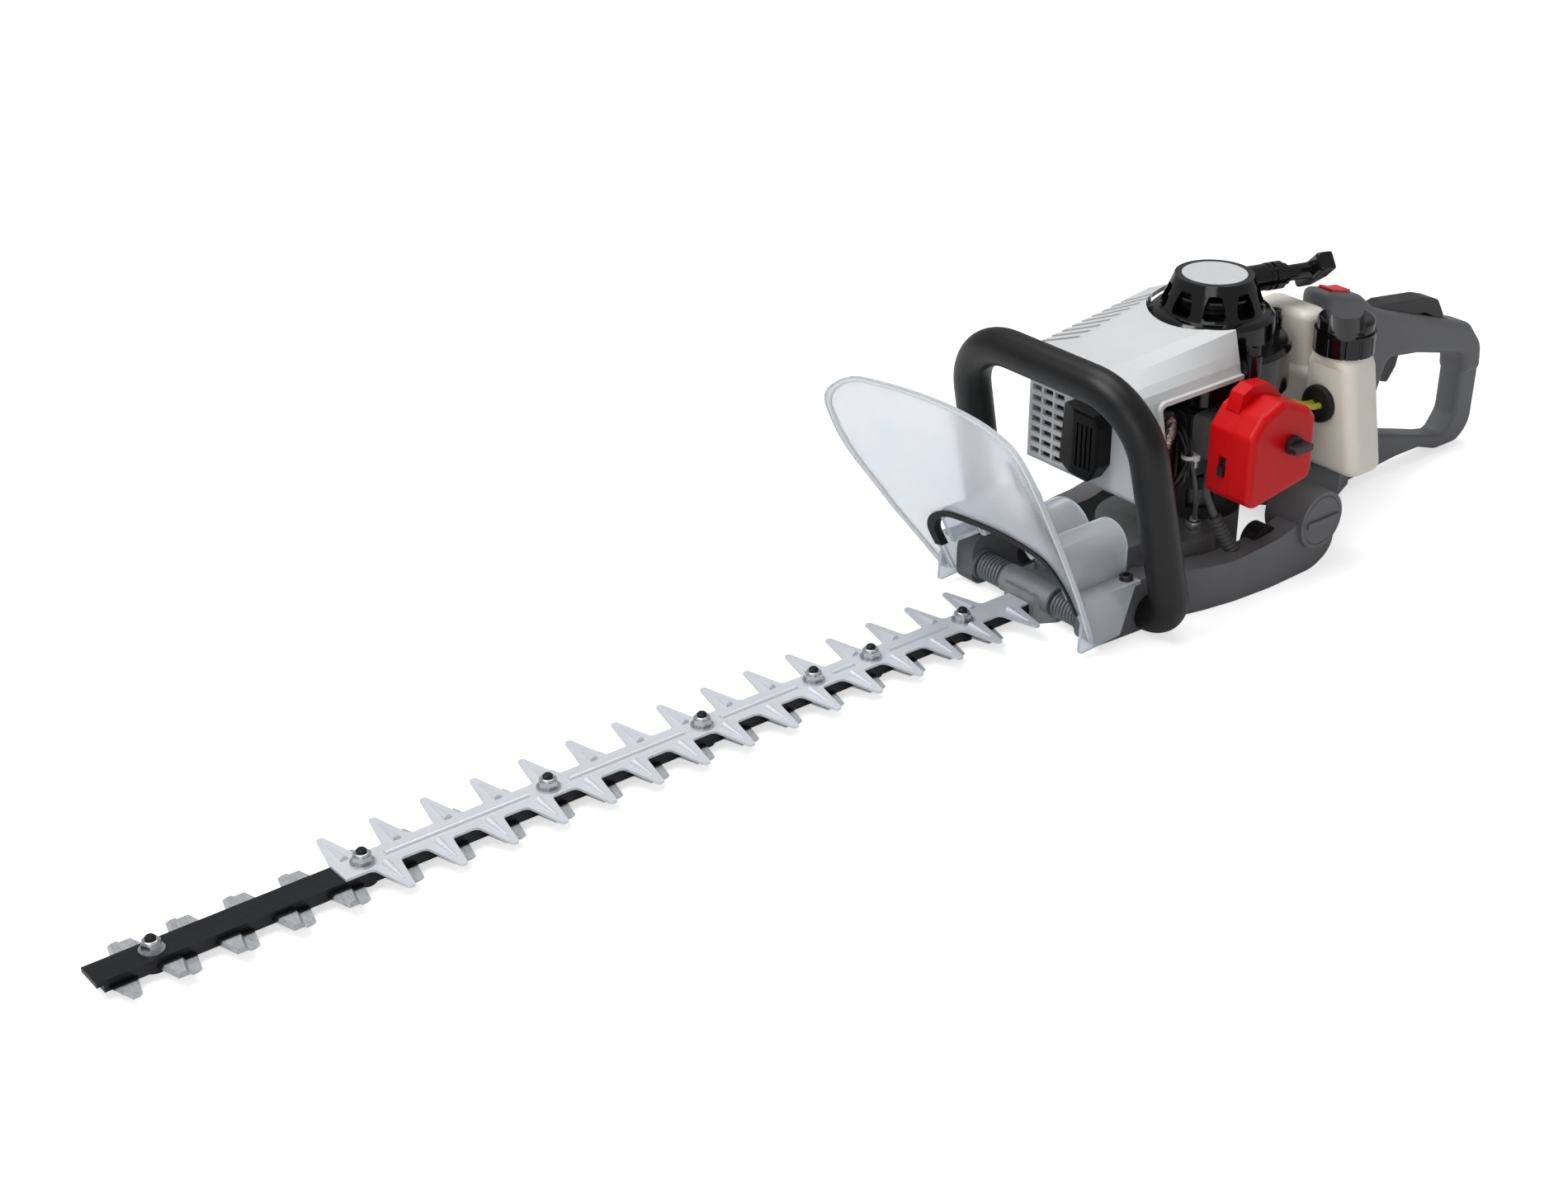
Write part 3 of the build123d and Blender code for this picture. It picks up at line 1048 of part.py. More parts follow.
def spring_wire(side):
    """Vibration spring: a helix of round wire along Y, its ends turned square to the seats."""
    lead = 2 * SPRING_WIRE_R
    bend = lead
    y0 = SPRING_IN_Y + lead + bend
    y1 = SPRING_OUT_Y - lead - bend
    pitch = (y1 - y0) / SPRING_TURNS
    rise = pitch / (2 * math.pi)
    norm = math.hypot(SPRING_R, rise)

    def place(turn):
        a = 2 * math.pi * turn
        return Vector(SPRING_X + SPRING_R * math.cos(a), y0 + pitch * turn, SPRING_Z + SPRING_R * math.sin(a))

    def heading(turn):
        a = 2 * math.pi * turn
        return Vector(-SPRING_R * math.sin(a), rise, SPRING_R * math.cos(a)) / norm

    quarters = 4 * SPRING_TURNS
    edges = []
    for i in range(quarters):
        edges += arc_pair(place(i / 4), heading(i / 4), place((i + 1) / 4), heading((i + 1) / 4))
    axial = Vector(0, 1, 0)
    start = place(0) - heading(0) * bend - axial * bend
    finish = place(SPRING_TURNS) + heading(SPRING_TURNS) * bend + axial * bend
    head = [Line(start - axial * lead, start)] + arc_pair(start, axial, place(0), heading(0))
    tail = arc_pair(place(SPRING_TURNS), heading(SPRING_TURNS), finish, axial)
    tail += [Line(finish, finish + axial * lead)]
    path = Wire(head + edges + tail)
    spots = [path @ (i / 300) for i in range(301)]
    apart = int(300 / (SPRING_TURNS + 1) / 2)
    least = min((spots[i] - spots[k]).length for i in range(301) for k in range(i + apart, 301))
    print("spring gap", round(least - 2 * SPRING_WIRE_R, 2))
    wire = sweep(Plane(path @ 0, z_dir=path % 0) * Circle(SPRING_WIRE_R), path)
    return wire if side > 0 else mirrored(wire)


def spring_caps():
    """Rubber seats on the gear case neck and moulded seats on the frame arms."""
    inner = along_y(SPRING_R + 2.2, NECK_HALF_W, SPRING_IN_Y, SPRING_X, SPRING_Z)
    outer = along_y(SPRING_R + 2.8, SPRING_OUT_Y, SPRING_ARM_Y, SPRING_X, SPRING_Z)
    outer = chamfer(outer.edges().group_by(Axis.Y)[0], 0.8)
    return [inner, mirrored(inner), outer, mirrored(outer)]


def guard_wall(front_r, back_r, height):
    """Leaning sheet, swept forward at both sides."""
    foot_x = GUARD_MID_X + GUARD_LEAN * GUARD_MID_Z
    ring = Circle(back_r) - Circle(front_r)
    ring &= Pos(back_r, 0) * Rectangle(2 * back_r, 2 * GUARD_HALF_W + 20)
    lean = Vector(-GUARD_LEAN, 0, 1)
    return extrude(Pos(foot_x - GUARD_SWEEP_R, 0, 0) * ring, height * lean.length, dir=lean)


def arch_face(grow):
    """Opening below the guard, seen from the front."""
    half = [(ARCH_HALF_W - 4, -40, 0), (ARCH_HALF_W, ARCH_TOP_Z, ARCH_CORNER_R)]
    face = shaped(half + [(-y, z, r) for y, z, r in reversed(half)])
    return offset(face, grow) if grow else face


def hood_face(inset):
    """Section of the three-lobed hood behind the shield."""
    lobes = Pos(0, 50) * Circle(23) + Pos(0, 42) * Rectangle(108, 30)
    for side in (-1, 1):
        lobes += Pos(side * 38, 57) * Circle(16)
    return offset(lobes, -inset) if inset else lobes


def hand_guard():
    """Clear hand guard: leaning shield with an arched opening, a hood behind it and two screwed feet."""
    edge = GUARD_EDGE + [(-y, z, r) for y, z, r in reversed(GUARD_EDGE)]
    wall = guard_wall(GUARD_SWEEP_R, GUARD_SWEEP_R + GUARD_T, 185)
    wall &= front_plate(shaped(edge) - arch_face(0.0), -330, -100)
    hood = front_plate(hood_face(0.0), -200, GUARD_REAR_X) - front_plate(hood_face(GUARD_T), -210, 0)
    hood -= block(-300, 0, -120, 120, 0, FLANGE_Z - GUARD_T)
    hood -= guard_wall(GUARD_SWEEP_R - 80, GUARD_SWEEP_R + 0.5, 185)
    foot = block(-172, GUARD_REAR_X, 53, GUARD_FOOT_Y, FLANGE_Z - GUARD_T, FLANGE_Z)
    skirt = outline([(-176, 4), (-140, 6), (-128, FLANGE_Z), (-174, FLANGE_Z)], 2)
    foot += side_plate(skirt, GUARD_FOOT_Y - GUARD_T, GUARD_FOOT_Y)
    foot -= upright(2.6, FLANGE_Z - 5, FLANGE_Z + 5, *GUARD_SCREW)
    return wall + hood + foot + mirrored(foot)


def guard_screw():
    """Pan-head screw that holds a guard foot on the frame."""
    screw = upright(4.5, FLANGE_Z, FLANGE_Z + 3.5, *GUARD_SCREW)
    screw = fillet(screw.edges().group_by(Axis.Z)[-1], 1.2)
    screw -= upright(2.2, FLANGE_Z + 1.5, FLANGE_Z + 5, *GUARD_SCREW)
    return screw + upright(2.5, FLANGE_Z - 12, FLANGE_Z, *GUARD_SCREW)


def guard_trim(guard):
    """Rubber edging on the rim of the guard's arch."""
    band = guard_wall(GUARD_SWEEP_R - 1.6, GUARD_SWEEP_R + GUARD_T + 1.6, 100)
    rim = (arch_face(3.0) - arch_face(-1.6)) & Pos(0, 52) * Rectangle(200, 40)
    return (band & front_plate(rim, -260, -120)) - guard


def mount_buffer():
    """Rubber buffer of a rear vibration mount, standing on the rail."""
    return along_y(11.5, 54, 66, -4, 29) - block(-30, 30, 0, 100, 0, RAIL_H)


def cable_sleeve():
    """Ribbed rubber sleeve that leads the cable from the engine into the rail."""
    rib = SLEEVE_LENGTH / SLEEVE_RIBS
    circles = []
    for i in range(SLEEVE_RIBS):
        for at, radius in ((0.0, 4.0), (0.25, SLEEVE_RIB_R), (0.6, SLEEVE_RIB_R), (0.85, 4.0)):
            circles.append(Pos(0, 0, rib * (i + at)) * Circle(radius))
    circles.append(Pos(0, 0, SLEEVE_LENGTH) * Circle(4.0))
    sleeve = loft(circles, ruled=True)
    sleeve -= Cylinder(CABLE_R, SLEEVE_LENGTH, align=(Align.CENTER, Align.CENTER, Align.MIN))
    return sleeve_plane * sleeve


def throttle_cable():
    """Control cable from the sleeve up to the carburettor."""
    axis = SLEEVE_AXIS.normalized()
    inside = SLEEVE_FOOT + axis * 2
    top = SLEEVE_FOOT + axis * (SLEEVE_LENGTH + 14)
    below = Vector(INTAKE_X - 18, -46, INTAKE_Z - 25)
    points = [inside, top, below, below + Vector(0, 0, 10)]
    return lead_route([tuple(p) for p in points], CABLE_R)


def save_all():
    """Build and write every node."""
    os.makedirs("parts", exist_ok=True)
    save("upper_blade", blade(upper_z, -REST_LAG, 0, True))
    save("lower_blade", blade(lower_z, REST_LAG, -1, False))
    save("guide_bar", guide_bar())
    save("tooth_comb", tooth_comb())
    save("bar_bolts", *[bar_bolt(x) for x in BAR_BOLT_X])
    save("bar_nuts", *[bar_nut(x) for x in BAR_BOLT_X])
    save("gear_case", gear_case())
    save("gear_lid", gear_lid())
    save("gear_bearings", bearing(0), bearing(GEAR_X))
    save("clutch_drum", clutch_drum())
    save("drive_gear", drive_gear())
    save("clutch_housing", clutch_housing())
    save("crankcase", crankcase())
    save("crankshaft", crankshaft())
    save("clutch_shoes", clutch_shoes())
    save("flywheel", flywheel())
    save("cylinder", cylinder())
    save("spark_plug", spark_plug())
    save("plug_boot", plug_boot())
    save("muffler", muffler())
    save("exhaust_deflector", exhaust_deflector())
    save("carburettor", carburettor())
    save("ignition_coil", ignition_coil())
    save("ignition_lead", ignition_lead())
    save("filter_base", filter_base())
    save("filter_cover", filter_cover())
    save("filter_element", filter_element())
    save("filter_knob", filter_knob())
    save("choke_lever", choke_lever())
    save("fuel_tank", fuel_tank())
    save("fuel_cap", fuel_cap())
    save("tank_grommet", tank_grommet())
    save("fuel_hoses", *[fuel_hose(y) for y in HOSE_Y])
    save("starter_housing", starter_housing())
    save("starter_screws", *[starter_screw(a) for a in SCREW_ANGLES])
    save("starter_disc", starter_disc())
    save("starter_pulley", starter_pulley())
    save("rope_guide", rope_guide())
    save("starter_grip", starter_grip())
    save("starter_rope", starter_rope())
    save("engine_cover", engine_cover())
    save("front_handle_tube", front_handle_tube())
    save("front_handle_grip", front_handle_grip())
    save("base_frame", base_frame())
    save("rear_mount_caps", mount_cap(1), mount_cap(-1))
    save("handle_screws", *[handle_screw(x, z) for x, z in GRIP_SCREWS])
    shell = handle_shell()
    save("rear_handle_left", handle_half(shell, -1))
    save("rear_handle_right", handle_half(shell, 1))
    save("throttle_trigger", throttle_trigger())
    save("throttle_lock", throttle_lock())
    save("stop_switch", stop_switch())
    save("av_springs", spring_wire(1), spring_wire(-1))
    save("spring_caps", *spring_caps())
    guard = hand_guard()
    save("hand_guard", guard)
    save("guard_trim", guard_trim(guard))
    save("guard_screws", guard_screw(), mirrored(guard_screw()))
    save("mount_buffers", mount_buffer(), mirrored(mount_buffer()))
    save("cable_sleeve", cable_sleeve())
    save("throttle_cable", throttle_cable())


save_all()
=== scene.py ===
import bpy
import bmesh
import math
from mathutils import Matrix, Vector


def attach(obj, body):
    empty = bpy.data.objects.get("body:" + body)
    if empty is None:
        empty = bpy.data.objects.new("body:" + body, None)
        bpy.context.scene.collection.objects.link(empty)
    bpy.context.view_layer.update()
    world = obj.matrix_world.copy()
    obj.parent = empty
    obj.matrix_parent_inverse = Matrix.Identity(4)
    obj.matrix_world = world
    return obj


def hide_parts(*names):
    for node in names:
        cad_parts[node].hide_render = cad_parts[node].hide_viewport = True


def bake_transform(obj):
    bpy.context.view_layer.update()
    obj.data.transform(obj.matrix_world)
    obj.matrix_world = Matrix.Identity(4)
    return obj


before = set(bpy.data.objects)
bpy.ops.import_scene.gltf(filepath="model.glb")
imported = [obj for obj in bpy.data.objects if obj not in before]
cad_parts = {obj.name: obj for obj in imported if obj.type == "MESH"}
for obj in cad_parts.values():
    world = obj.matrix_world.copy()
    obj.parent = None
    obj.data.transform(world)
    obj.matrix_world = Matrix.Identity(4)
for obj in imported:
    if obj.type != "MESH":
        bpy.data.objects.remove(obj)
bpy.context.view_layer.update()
scene = bpy.context.scene
scene.view_settings.view_transform = "Standard"


# Camera of the product photograph: a long lens, raised about 28 degrees, looking along the
# cutter from its near front. The numbers come from the rows of teeth in the picture.
PHOTO_WIDTH_PX, FOCAL_PX, SENSOR_MM = 1900, 3020.6, 36.0
CAMERA_PLACE = (-1.18261, -1.02077, 0.76865)
turn, tilt, roll = math.radians(38.8266), math.radians(27.5905), math.radians(-0.079)
forward = Vector((math.sin(turn) * math.cos(tilt), math.cos(turn) * math.cos(tilt), -math.sin(tilt)))
right = Vector((math.cos(turn), -math.sin(turn), 0))
up = right.cross(forward)
lens = bpy.data.cameras.new("photo_camera")
lens.sensor_width = SENSOR_MM
lens.lens = SENSOR_MM * FOCAL_PX / PHOTO_WIDTH_PX
lens.clip_end = 50.0
camera = bpy.data.objects.new("photo_camera", lens)
axes = Matrix((right, up, -forward)).transposed() @ Matrix.Rotation(roll, 3, "Z")
camera.matrix_world = Matrix.Translation(CAMERA_PLACE) @ axes.to_4x4()
scene.collection.objects.link(camera)
scene.camera = camera


# Studio: a pale seamless floor, a white room and three soft lamps. The floor glows a little where the lens
# sees it, bare or through the guard, so that it photographs white and still takes a shadow.
def srgb(text):
    """Linear colour of an sRGB hex value."""
    parts = [int(text[i:i + 2], 16) / 255 for i in (1, 3, 5)]
    return tuple(c / 12.92 if c <= 0.04045 else ((c + 0.055) / 1.055) ** 2.4 for c in parts) + (1.0,)


def add(tree, kind, settings=None, links=None):
    """One shader node with its settings and its links."""
    node = tree.nodes.new("ShaderNode" + kind)
    for key, value in (settings or {}).items():
        if isinstance(key, int) or key in node.inputs:
            node.inputs[key].default_value = value
        else:
            setattr(node, key, value)
    for key, socket in (links or {}).items():
        tree.links.new(socket, node.inputs[key])
    return node


def empty_material(name):
    """A material with nothing in it but its output."""
    material = bpy.data.materials.new(name)
    material.use_nodes = True
    material.node_tree.nodes.clear()
    return material, material.node_tree


FLOOR_GLOW, FLOOR_REACH = 0.62, 12.0
paper, tree = empty_material("studio_paper")
path = add(tree, "LightPath")
seen = add(tree, "Math", {"operation": "MAXIMUM"},
           {0: path.outputs["Is Camera Ray"], 1: path.outputs["Is Transmission Ray"]})
glow = add(tree, "Math", {"operation": "MULTIPLY", 1: FLOOR_GLOW}, {0: seen.outputs[0]})
sheet = add(tree, "BsdfDiffuse", {"Color": srgb("#E9E9E9")})
light = add(tree, "Emission", {"Color": (1, 1, 1, 1)}, {"Strength": glow.outputs[0]})
both = add(tree, "AddShader", None, {0: sheet.outputs[0], 1: light.outputs[0]})
add(tree, "OutputMaterial", None, {"Surface": both.outputs[0]})
shape = bmesh.new()
bmesh.ops.create_grid(shape, x_segments=1, y_segments=1, size=FLOOR_REACH)
mesh = bpy.data.meshes.new("studio_floor")
shape.to_mesh(mesh)
shape.free()
floor = bpy.data.objects.new("studio_floor", mesh)
mesh.materials.append(paper)
scene.collection.objects.link(floor)

ROOM_LIGHT, ROOM_SEEN = 0.34, 1.0
world = bpy.data.worlds.new("white_room")
world.use_nodes = True
tree = world.node_tree
tree.nodes.clear()
path = add(tree, "LightPath")
level = add(tree, "MapRange", {"From Min": 0.0, "From Max": 1.0, "To Min": ROOM_LIGHT, "To Max": ROOM_SEEN},
            {"Value": path.outputs["Is Camera Ray"]})
room = add(tree, "Background", {"Color": (1, 1, 1, 1)}, {"Strength": level.outputs[0]})
add(tree, "OutputWorld", None, {"Surface": room.outputs[0]})
scene.world = world

for name, place, aim, size, power in (
        ("key_softbox", (-1.5, 0.3, 2.0), (-0.1, 0, 0.08), 1.1, 27.0),
        ("top_softbox", (0.2, 0.5, 2.3), (-0.1, 0, 0.05), 1.5, 21.0),
        ("front_fill", (-1.9, -1.3, 0.8), (0.0, 0, 0.1), 1.2, 8.0)):
    lamp = bpy.data.lights.new(name, "AREA")
    lamp.size = size
    lamp.energy = power
    holder = bpy.data.objects.new(name, lamp)
    facing = (Vector(aim) - Vector(place)).to_track_quat("-Z", "Y")
    holder.matrix_world = Matrix.Translation(place) @ facing.to_matrix().to_4x4()
    scene.collection.objects.link(holder)


# Cutter bar: the flat guide bar, phosphated black, with shouldered bolts through it.
# Satin black with a faint mottle and fine draw marks along its length.
def surface(name, light, dark, drift_mm, grain_mm, grain_depth_mm, rough, stretch=(1, 1, 1), **sockets):
    """Finish whose colour drifts between two shades, with a fine grain in its relief and gloss."""
    material, tree = empty_material(name)
    where = add(tree, "TexCoord")
    spread = add(tree, "Mapping", {"Scale": stretch}, {"Vector": where.outputs["Object"]})
    drift = add(tree, "TexNoise", {"Scale": 1000 / drift_mm, "Detail": 4.0, "Roughness": 0.6},
                {"Vector": spread.outputs[0]})
    # The real grains are finer; about a millimetre is as fine as the render shows.
    grain = add(tree, "TexNoise", {"Scale": 1000 / grain_mm, "Detail": 2.0}, {"Vector": spread.outputs[0]})
    tint = add(tree, "MixRGB", {"Color1": srgb(dark), "Color2": srgb(light)}, {"Fac": drift.outputs["Fac"]})
    gloss = add(tree, "MapRange", {"From Min": 0.3, "From Max": 0.7, "To Min": rough[0], "To Max": rough[1]},
                {"Value": grain.outputs["Fac"]})
    relief = add(tree, "Bump", {"Strength": 1.0, "Distance": grain_depth_mm / 1000},
                 {"Height": grain.outputs["Fac"]})
    settings = {key.replace("_", " "): value for key, value in sockets.items()}
    body = add(tree, "BsdfPrincipled", settings,
               {"Base Color": tint.outputs[0], "Roughness": gloss.outputs[0], "Normal": relief.outputs[0]})
    add(tree, "OutputMaterial", None, {"Surface": body.outputs[0]})
    return material


def dress(material, *nodes):
    """Give a CAD piece its finish."""
    for node in nodes:
        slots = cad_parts[node].data.materials
        slots.clear()
        slots.append(material)


phosphated_steel = surface("phosphated_steel", "#2A2B2D", "#151618", 18, 1.2, 0.02, (0.34, 0.5), (0.25, 1, 1),
                           Metallic=0.6)
dress(phosphated_steel, "guide_bar", "bar_bolts")


# Blades: hardened spring steel, oil-blackened along the body and ground bright on the teeth. The grinding
# marks run across the blade, so the noise is drawn out along Y. They are 0.8 mm wide, coarser than real ones,
# to show in the render.
GROUND_FROM_MM, GROUND_TO_MM = 11.5, 13.0
MARK_MM, MARK_DEPTH_MM, MARK_STRETCH = 0.8, 0.012, (1, 0.12, 1)
ground_steel, tree = empty_material("ground_spring_steel")
where = add(tree, "TexCoord")
spread = add(tree, "Mapping", {"Scale": MARK_STRETCH}, {"Vector": where.outputs["Object"]})
marks = add(tree, "TexNoise", {"Scale": 1000 / MARK_MM, "Detail": 2.0}, {"Vector": spread.outputs[0]})
bright = add(tree, "MixRGB", {"Color1": srgb("#A9ACB0"), "Color2": srgb("#DDE0E3")},
             {"Fac": marks.outputs["Fac"]})
place = add(tree, "SeparateXYZ", None, {0: where.outputs["Object"]})
reach = add(tree, "Math", {"operation": "ABSOLUTE"}, {0: place.outputs["Y"]})
ground = add(tree, "MapRange", {"From Min": GROUND_FROM_MM / 1000, "From Max": GROUND_TO_MM / 1000},
             {"Value": reach.outputs[0]})
tint = add(tree, "MixRGB", {"Color1": srgb("#26272A")},
           {"Fac": ground.outputs[0], "Color2": bright.outputs[0]})
gloss = add(tree, "MapRange", {"From Min": 0.3, "From Max": 0.7, "To Min": 0.26, "To Max": 0.42},
            {"Value": marks.outputs["Fac"]})
relief = add(tree, "Bump", {"Strength": 1.0, "Distance": MARK_DEPTH_MM / 1000},
             {"Height": marks.outputs["Fac"]})
steel = add(tree, "BsdfPrincipled", {"Metallic": 0.65},
            {"Base Color": tint.outputs[0], "Roughness": gloss.outputs[0], "Normal": relief.outputs[0]})
add(tree, "OutputMaterial", None, {"Surface": steel.outputs[0]})
dress(ground_steel, "upper_blade", "lower_blade")


# Comb: blunt teeth pressed from steel sheet and bolted over the bar, in pale silver paint.
# A fine metal flake gives it a soft sheen.
silver_paint = surface("silver_paint", "#DCDFE5", "#CDD1D8", 30, 0.9, 0.01, (0.34, 0.48), Metallic=0.3)
dress(silver_paint, "tooth_comb")


# Lock nuts of the bar, spark plug and handle screws: turned steel under bright zinc plate.
# It shines like metal, with a slight cloudiness from the plating bath.
zinc_plate = surface("zinc_plate", "#DADCDE", "#B4B7BA", 5, 0.8, 0.01, (0.2, 0.36), Metallic=1.0)
dress(zinc_plate, "bar_nuts", "spark_plug", "handle_screws")


# Gear case with its bottom plate, flywheel and carburettor: die-cast aluminium, left bare.
# Grey, with a sandy skin from the mould, drawn as a 1.4 mm grain so that it shows.
cast_alloy = surface("die_cast_aluminium", "#A9ABAC", "#85878A", 9, 1.4, 0.14, (0.42, 0.6), Metallic=0.5)
dress(cast_alloy, "gear_case", "gear_lid", "flywheel", "carburettor")


# Engine block: the clutch housing, crankcase and finned cylinder are die-cast too, hidden behind the cover.
# Their finish is darkened to a dull near-black as painted shade, standing in for the shadow inside the cover.
engine_painted_shade = surface("engine_cast_painted_shade", "#3B3C3D", "#232425", 16, 1.2, 0.04, (0.5, 0.68),
                       Metallic=0.3)
dress(engine_painted_shade, "clutch_housing", "crankcase", "cylinder")


# Running gear inside the cases: bearings, clutch, drive gear and crankshaft, hardened steel.
# Turned and cut, so bright and finely marked.
turned_steel = surface("turned_steel", "#9EA0A3", "#77797C", 6, 0.7, 0.01, (0.25, 0.4), Metallic=1.0)
dress(turned_steel, "gear_bearings", "clutch_drum", "drive_gear", "crankshaft", "clutch_shoes")


# Exhaust box: two pressed steel shells, seamed together and bolted to the cylinder.
# Dull heat-proof paint, browned by the gas.
heat_paint = surface("heat_proof_paint", "#5E5A55", "#3C3A38", 11, 1.0, 0.03, (0.55, 0.75), Metallic=0.4)
dress(heat_paint, "muffler")


# Rubber goods: plug cap, coil housing, tank grommet, rear buffers and the guard's edge trim.
# Moulded, matt black with a dusty bloom.
black_rubber = surface("moulded_rubber", "#1D1D1E", "#0E0E0F", 12, 0.9, 0.02, (0.5, 0.7),
                       Specular_IOR_Level=0.35)
dress(black_rubber, "plug_boot", "ignition_coil", "tank_grommet", "mount_buffers", "guard_trim")


# Frame, rear handle halves, mount caps and spring seats: glass-filled nylon, dark grey,
# with the sandy grain of a spark-eroded mould, drawn at 0.9 mm so that it shows.
nylon = surface("glass_filled_nylon", "#6A6B6E", "#5D5E61", 35, 0.9, 0.03, (0.42, 0.58))
dress(nylon, "base_frame", "rear_handle_left", "rear_handle_right", "rear_mount_caps", "spring_caps")


# Vibration springs: round wire wound into close coils between the gear case neck and the frame arms,
# under a grey zinc lamella coat. The end faces are cut square and rest against the seats.
SPRING_X, SPRING_Z = -0.153, 0.016
SPRING_IN_Y, SPRING_OUT_Y = 0.0234, 0.0456
SPRING_R, SPRING_WIRE_R, SPRING_TURNS, STEPS_PER_TURN = 0.0082, 0.0012, 7, 28
spring_coat = surface("zinc_lamella_coat", "#8A8E93", "#6A6E73", 4, 0.6, 0.01, (0.3, 0.45), Metallic=0.5)


def finished(name, shape, material):
    """A modelled shape as an object of one material, closed and facing outwards."""
    bmesh.ops.remove_doubles(shape, verts=shape.verts[:], dist=1e-6)
    bmesh.ops.recalc_face_normals(shape, faces=shape.faces[:])
    mesh = bpy.data.meshes.new(name)
    shape.to_mesh(mesh)
    shape.free()
    mesh.shade_smooth()
    mesh.materials.append(material)
    made = bpy.data.objects.new(name, mesh)
    scene.collection.objects.link(made)
    return made


rise = SPRING_OUT_Y - SPRING_IN_Y - 2 * SPRING_WIRE_R
steps = SPRING_TURNS * STEPS_PER_TURN
for name, side in (("near_spring", -1), ("far_spring", 1)):
    shape = bmesh.new()
    place = Matrix.Translation((SPRING_X + SPRING_R, side * (SPRING_IN_Y + SPRING_WIRE_R), SPRING_Z))
    wire = bmesh.ops.create_circle(shape, cap_ends=False, segments=12, radius=SPRING_WIRE_R,
                                   matrix=place)["verts"]
    wound = bmesh.ops.spin(shape, geom=wire + shape.edges[:], cent=(SPRING_X, 0, SPRING_Z), axis=(0, 1, 0),
                           dvec=(0, side * rise / steps, 0), angle=math.tau * SPRING_TURNS, steps=steps)
    last = [part for part in wound["geom_last"] if isinstance(part, bmesh.types.BMEdge)]
    bmesh.ops.contextual_create(shape, geom=last)
    bmesh.ops.contextual_create(shape, geom=[e for e in shape.edges if e.is_boundary])
    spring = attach(finished(name, shape, spring_coat), "machine")
    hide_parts("av_springs")


# Engine cover: light grey ABS, moulded in one piece and screwed over the cylinder.
# Satin from a finely etched mould.
grey_abs = surface("etched_abs", "#D6D8D9", "#CBCDCF", 45, 0.9, 0.015, (0.34, 0.46))
dress(grey_abs, "engine_cover")


# Starter housing, rope guide, pull grip and fuel cap: gloss black nylon from a polished mould.
# Deep black with sharp, slightly wavy reflections.
gloss_black = surface("gloss_black_nylon", "#0F0F11", "#070708", 25, 3.0, 0.01, (0.07, 0.16))
dress(gloss_black, "starter_housing", "rope_guide", "starter_grip", "fuel_cap")


# Exhaust hood: black glass-filled nylon let into the cover, smooth on its far half and grooved on its
# near half, with less shine than the starter because of the glass.
hood_nylon = surface("black_glass_filled_nylon", "#09090A", "#050506", 20, 3.0, 0.002, (0.3, 0.36),
                     Specular_IOR_Level=0.15)
dress(hood_nylon, "exhaust_deflector")


# Trigger, lock, filter knob, choke lever and pulley: satin black acetal, moulded.
# The handle loop and the small screws have a satin black coat that looks the same.
black_acetal = surface("satin_black_acetal", "#232325", "#18181A", 10, 0.9, 0.02, (0.36, 0.5))
dress(black_acetal, "throttle_trigger", "throttle_lock", "filter_knob", "choke_lever", "starter_pulley",
      "front_handle_tube", "starter_screws", "guard_screws")


# Air filter housing: red polypropylene, moulded in two halves, satin, held by one knob.
# Inside lies an oiled pad of open-cell foam, cut from a slab, so its edges are soft and its skin is pitted.
red_plastic = surface("red_polypropylene", "#D2080F", "#C4060C", 40, 1.0, 0.012, (0.3, 0.44),
                      Specular_IOR_Level=0.22)
dress(red_plastic, "filter_base", "filter_cover")
filter_foam = surface("open_cell_foam", "#3A3A3A", "#151515", 3, 1.4, 0.4, (0.8, 0.95))
PAD_EDGE, PAD_FLAT, PAD_SHARP = 0.0008, math.radians(2), math.radians(35)
shape = bmesh.new()
shape.from_mesh(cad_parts["filter_element"].data)
bmesh.ops.remove_doubles(shape, verts=shape.verts[:], dist=1e-6)
bmesh.ops.dissolve_limit(shape, angle_limit=PAD_FLAT, verts=shape.verts[:], edges=shape.edges[:])
sharp = [edge for edge in shape.edges if len(edge.link_faces) == 2 and edge.calc_face_angle() > PAD_SHARP]
bmesh.ops.bevel(shape, geom=sharp, offset=PAD_EDGE, affect="EDGES", segments=3, profile=0.5, material=-1,
                clamp_overlap=True)
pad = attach(finished("filter_foam_pad", shape, filter_foam), "machine")
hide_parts("filter_element")


# Stop switch: a moulded nylon rocker let into the top of the rear handle.
# Bright red, satin.
red_nylon = surface("red_nylon", "#E02A25", "#CF1D1B", 8, 0.8, 0.01, (0.3, 0.42))
dress(red_nylon, "stop_switch")


# Fuel tank: blow-moulded polyethylene, hung between the engine and the rear handle.
# Milky and slightly see-through, so light soaks in.
milky_tank = surface("milky_polyethylene", "#EEEAE0", "#E2DCCE", 30, 2.0, 0.03, (0.28, 0.4),
                     Subsurface_Weight=0.35, Subsurface_Radius=(0.006, 0.005, 0.004), Subsurface_Scale=1.0)
dress(milky_tank, "fuel_tank")


# Fuel hoses: clear yellow-green polyurethane tube, pushed through the tank grommet and led under
# the starter to the carburettor.
HOSE_R = 0.0022
hose_plastic = surface("yellow_polyurethane", "#C9C24A", "#AEA636", 6, 1.5, 0.01, (0.12, 0.22), IOR=1.5)


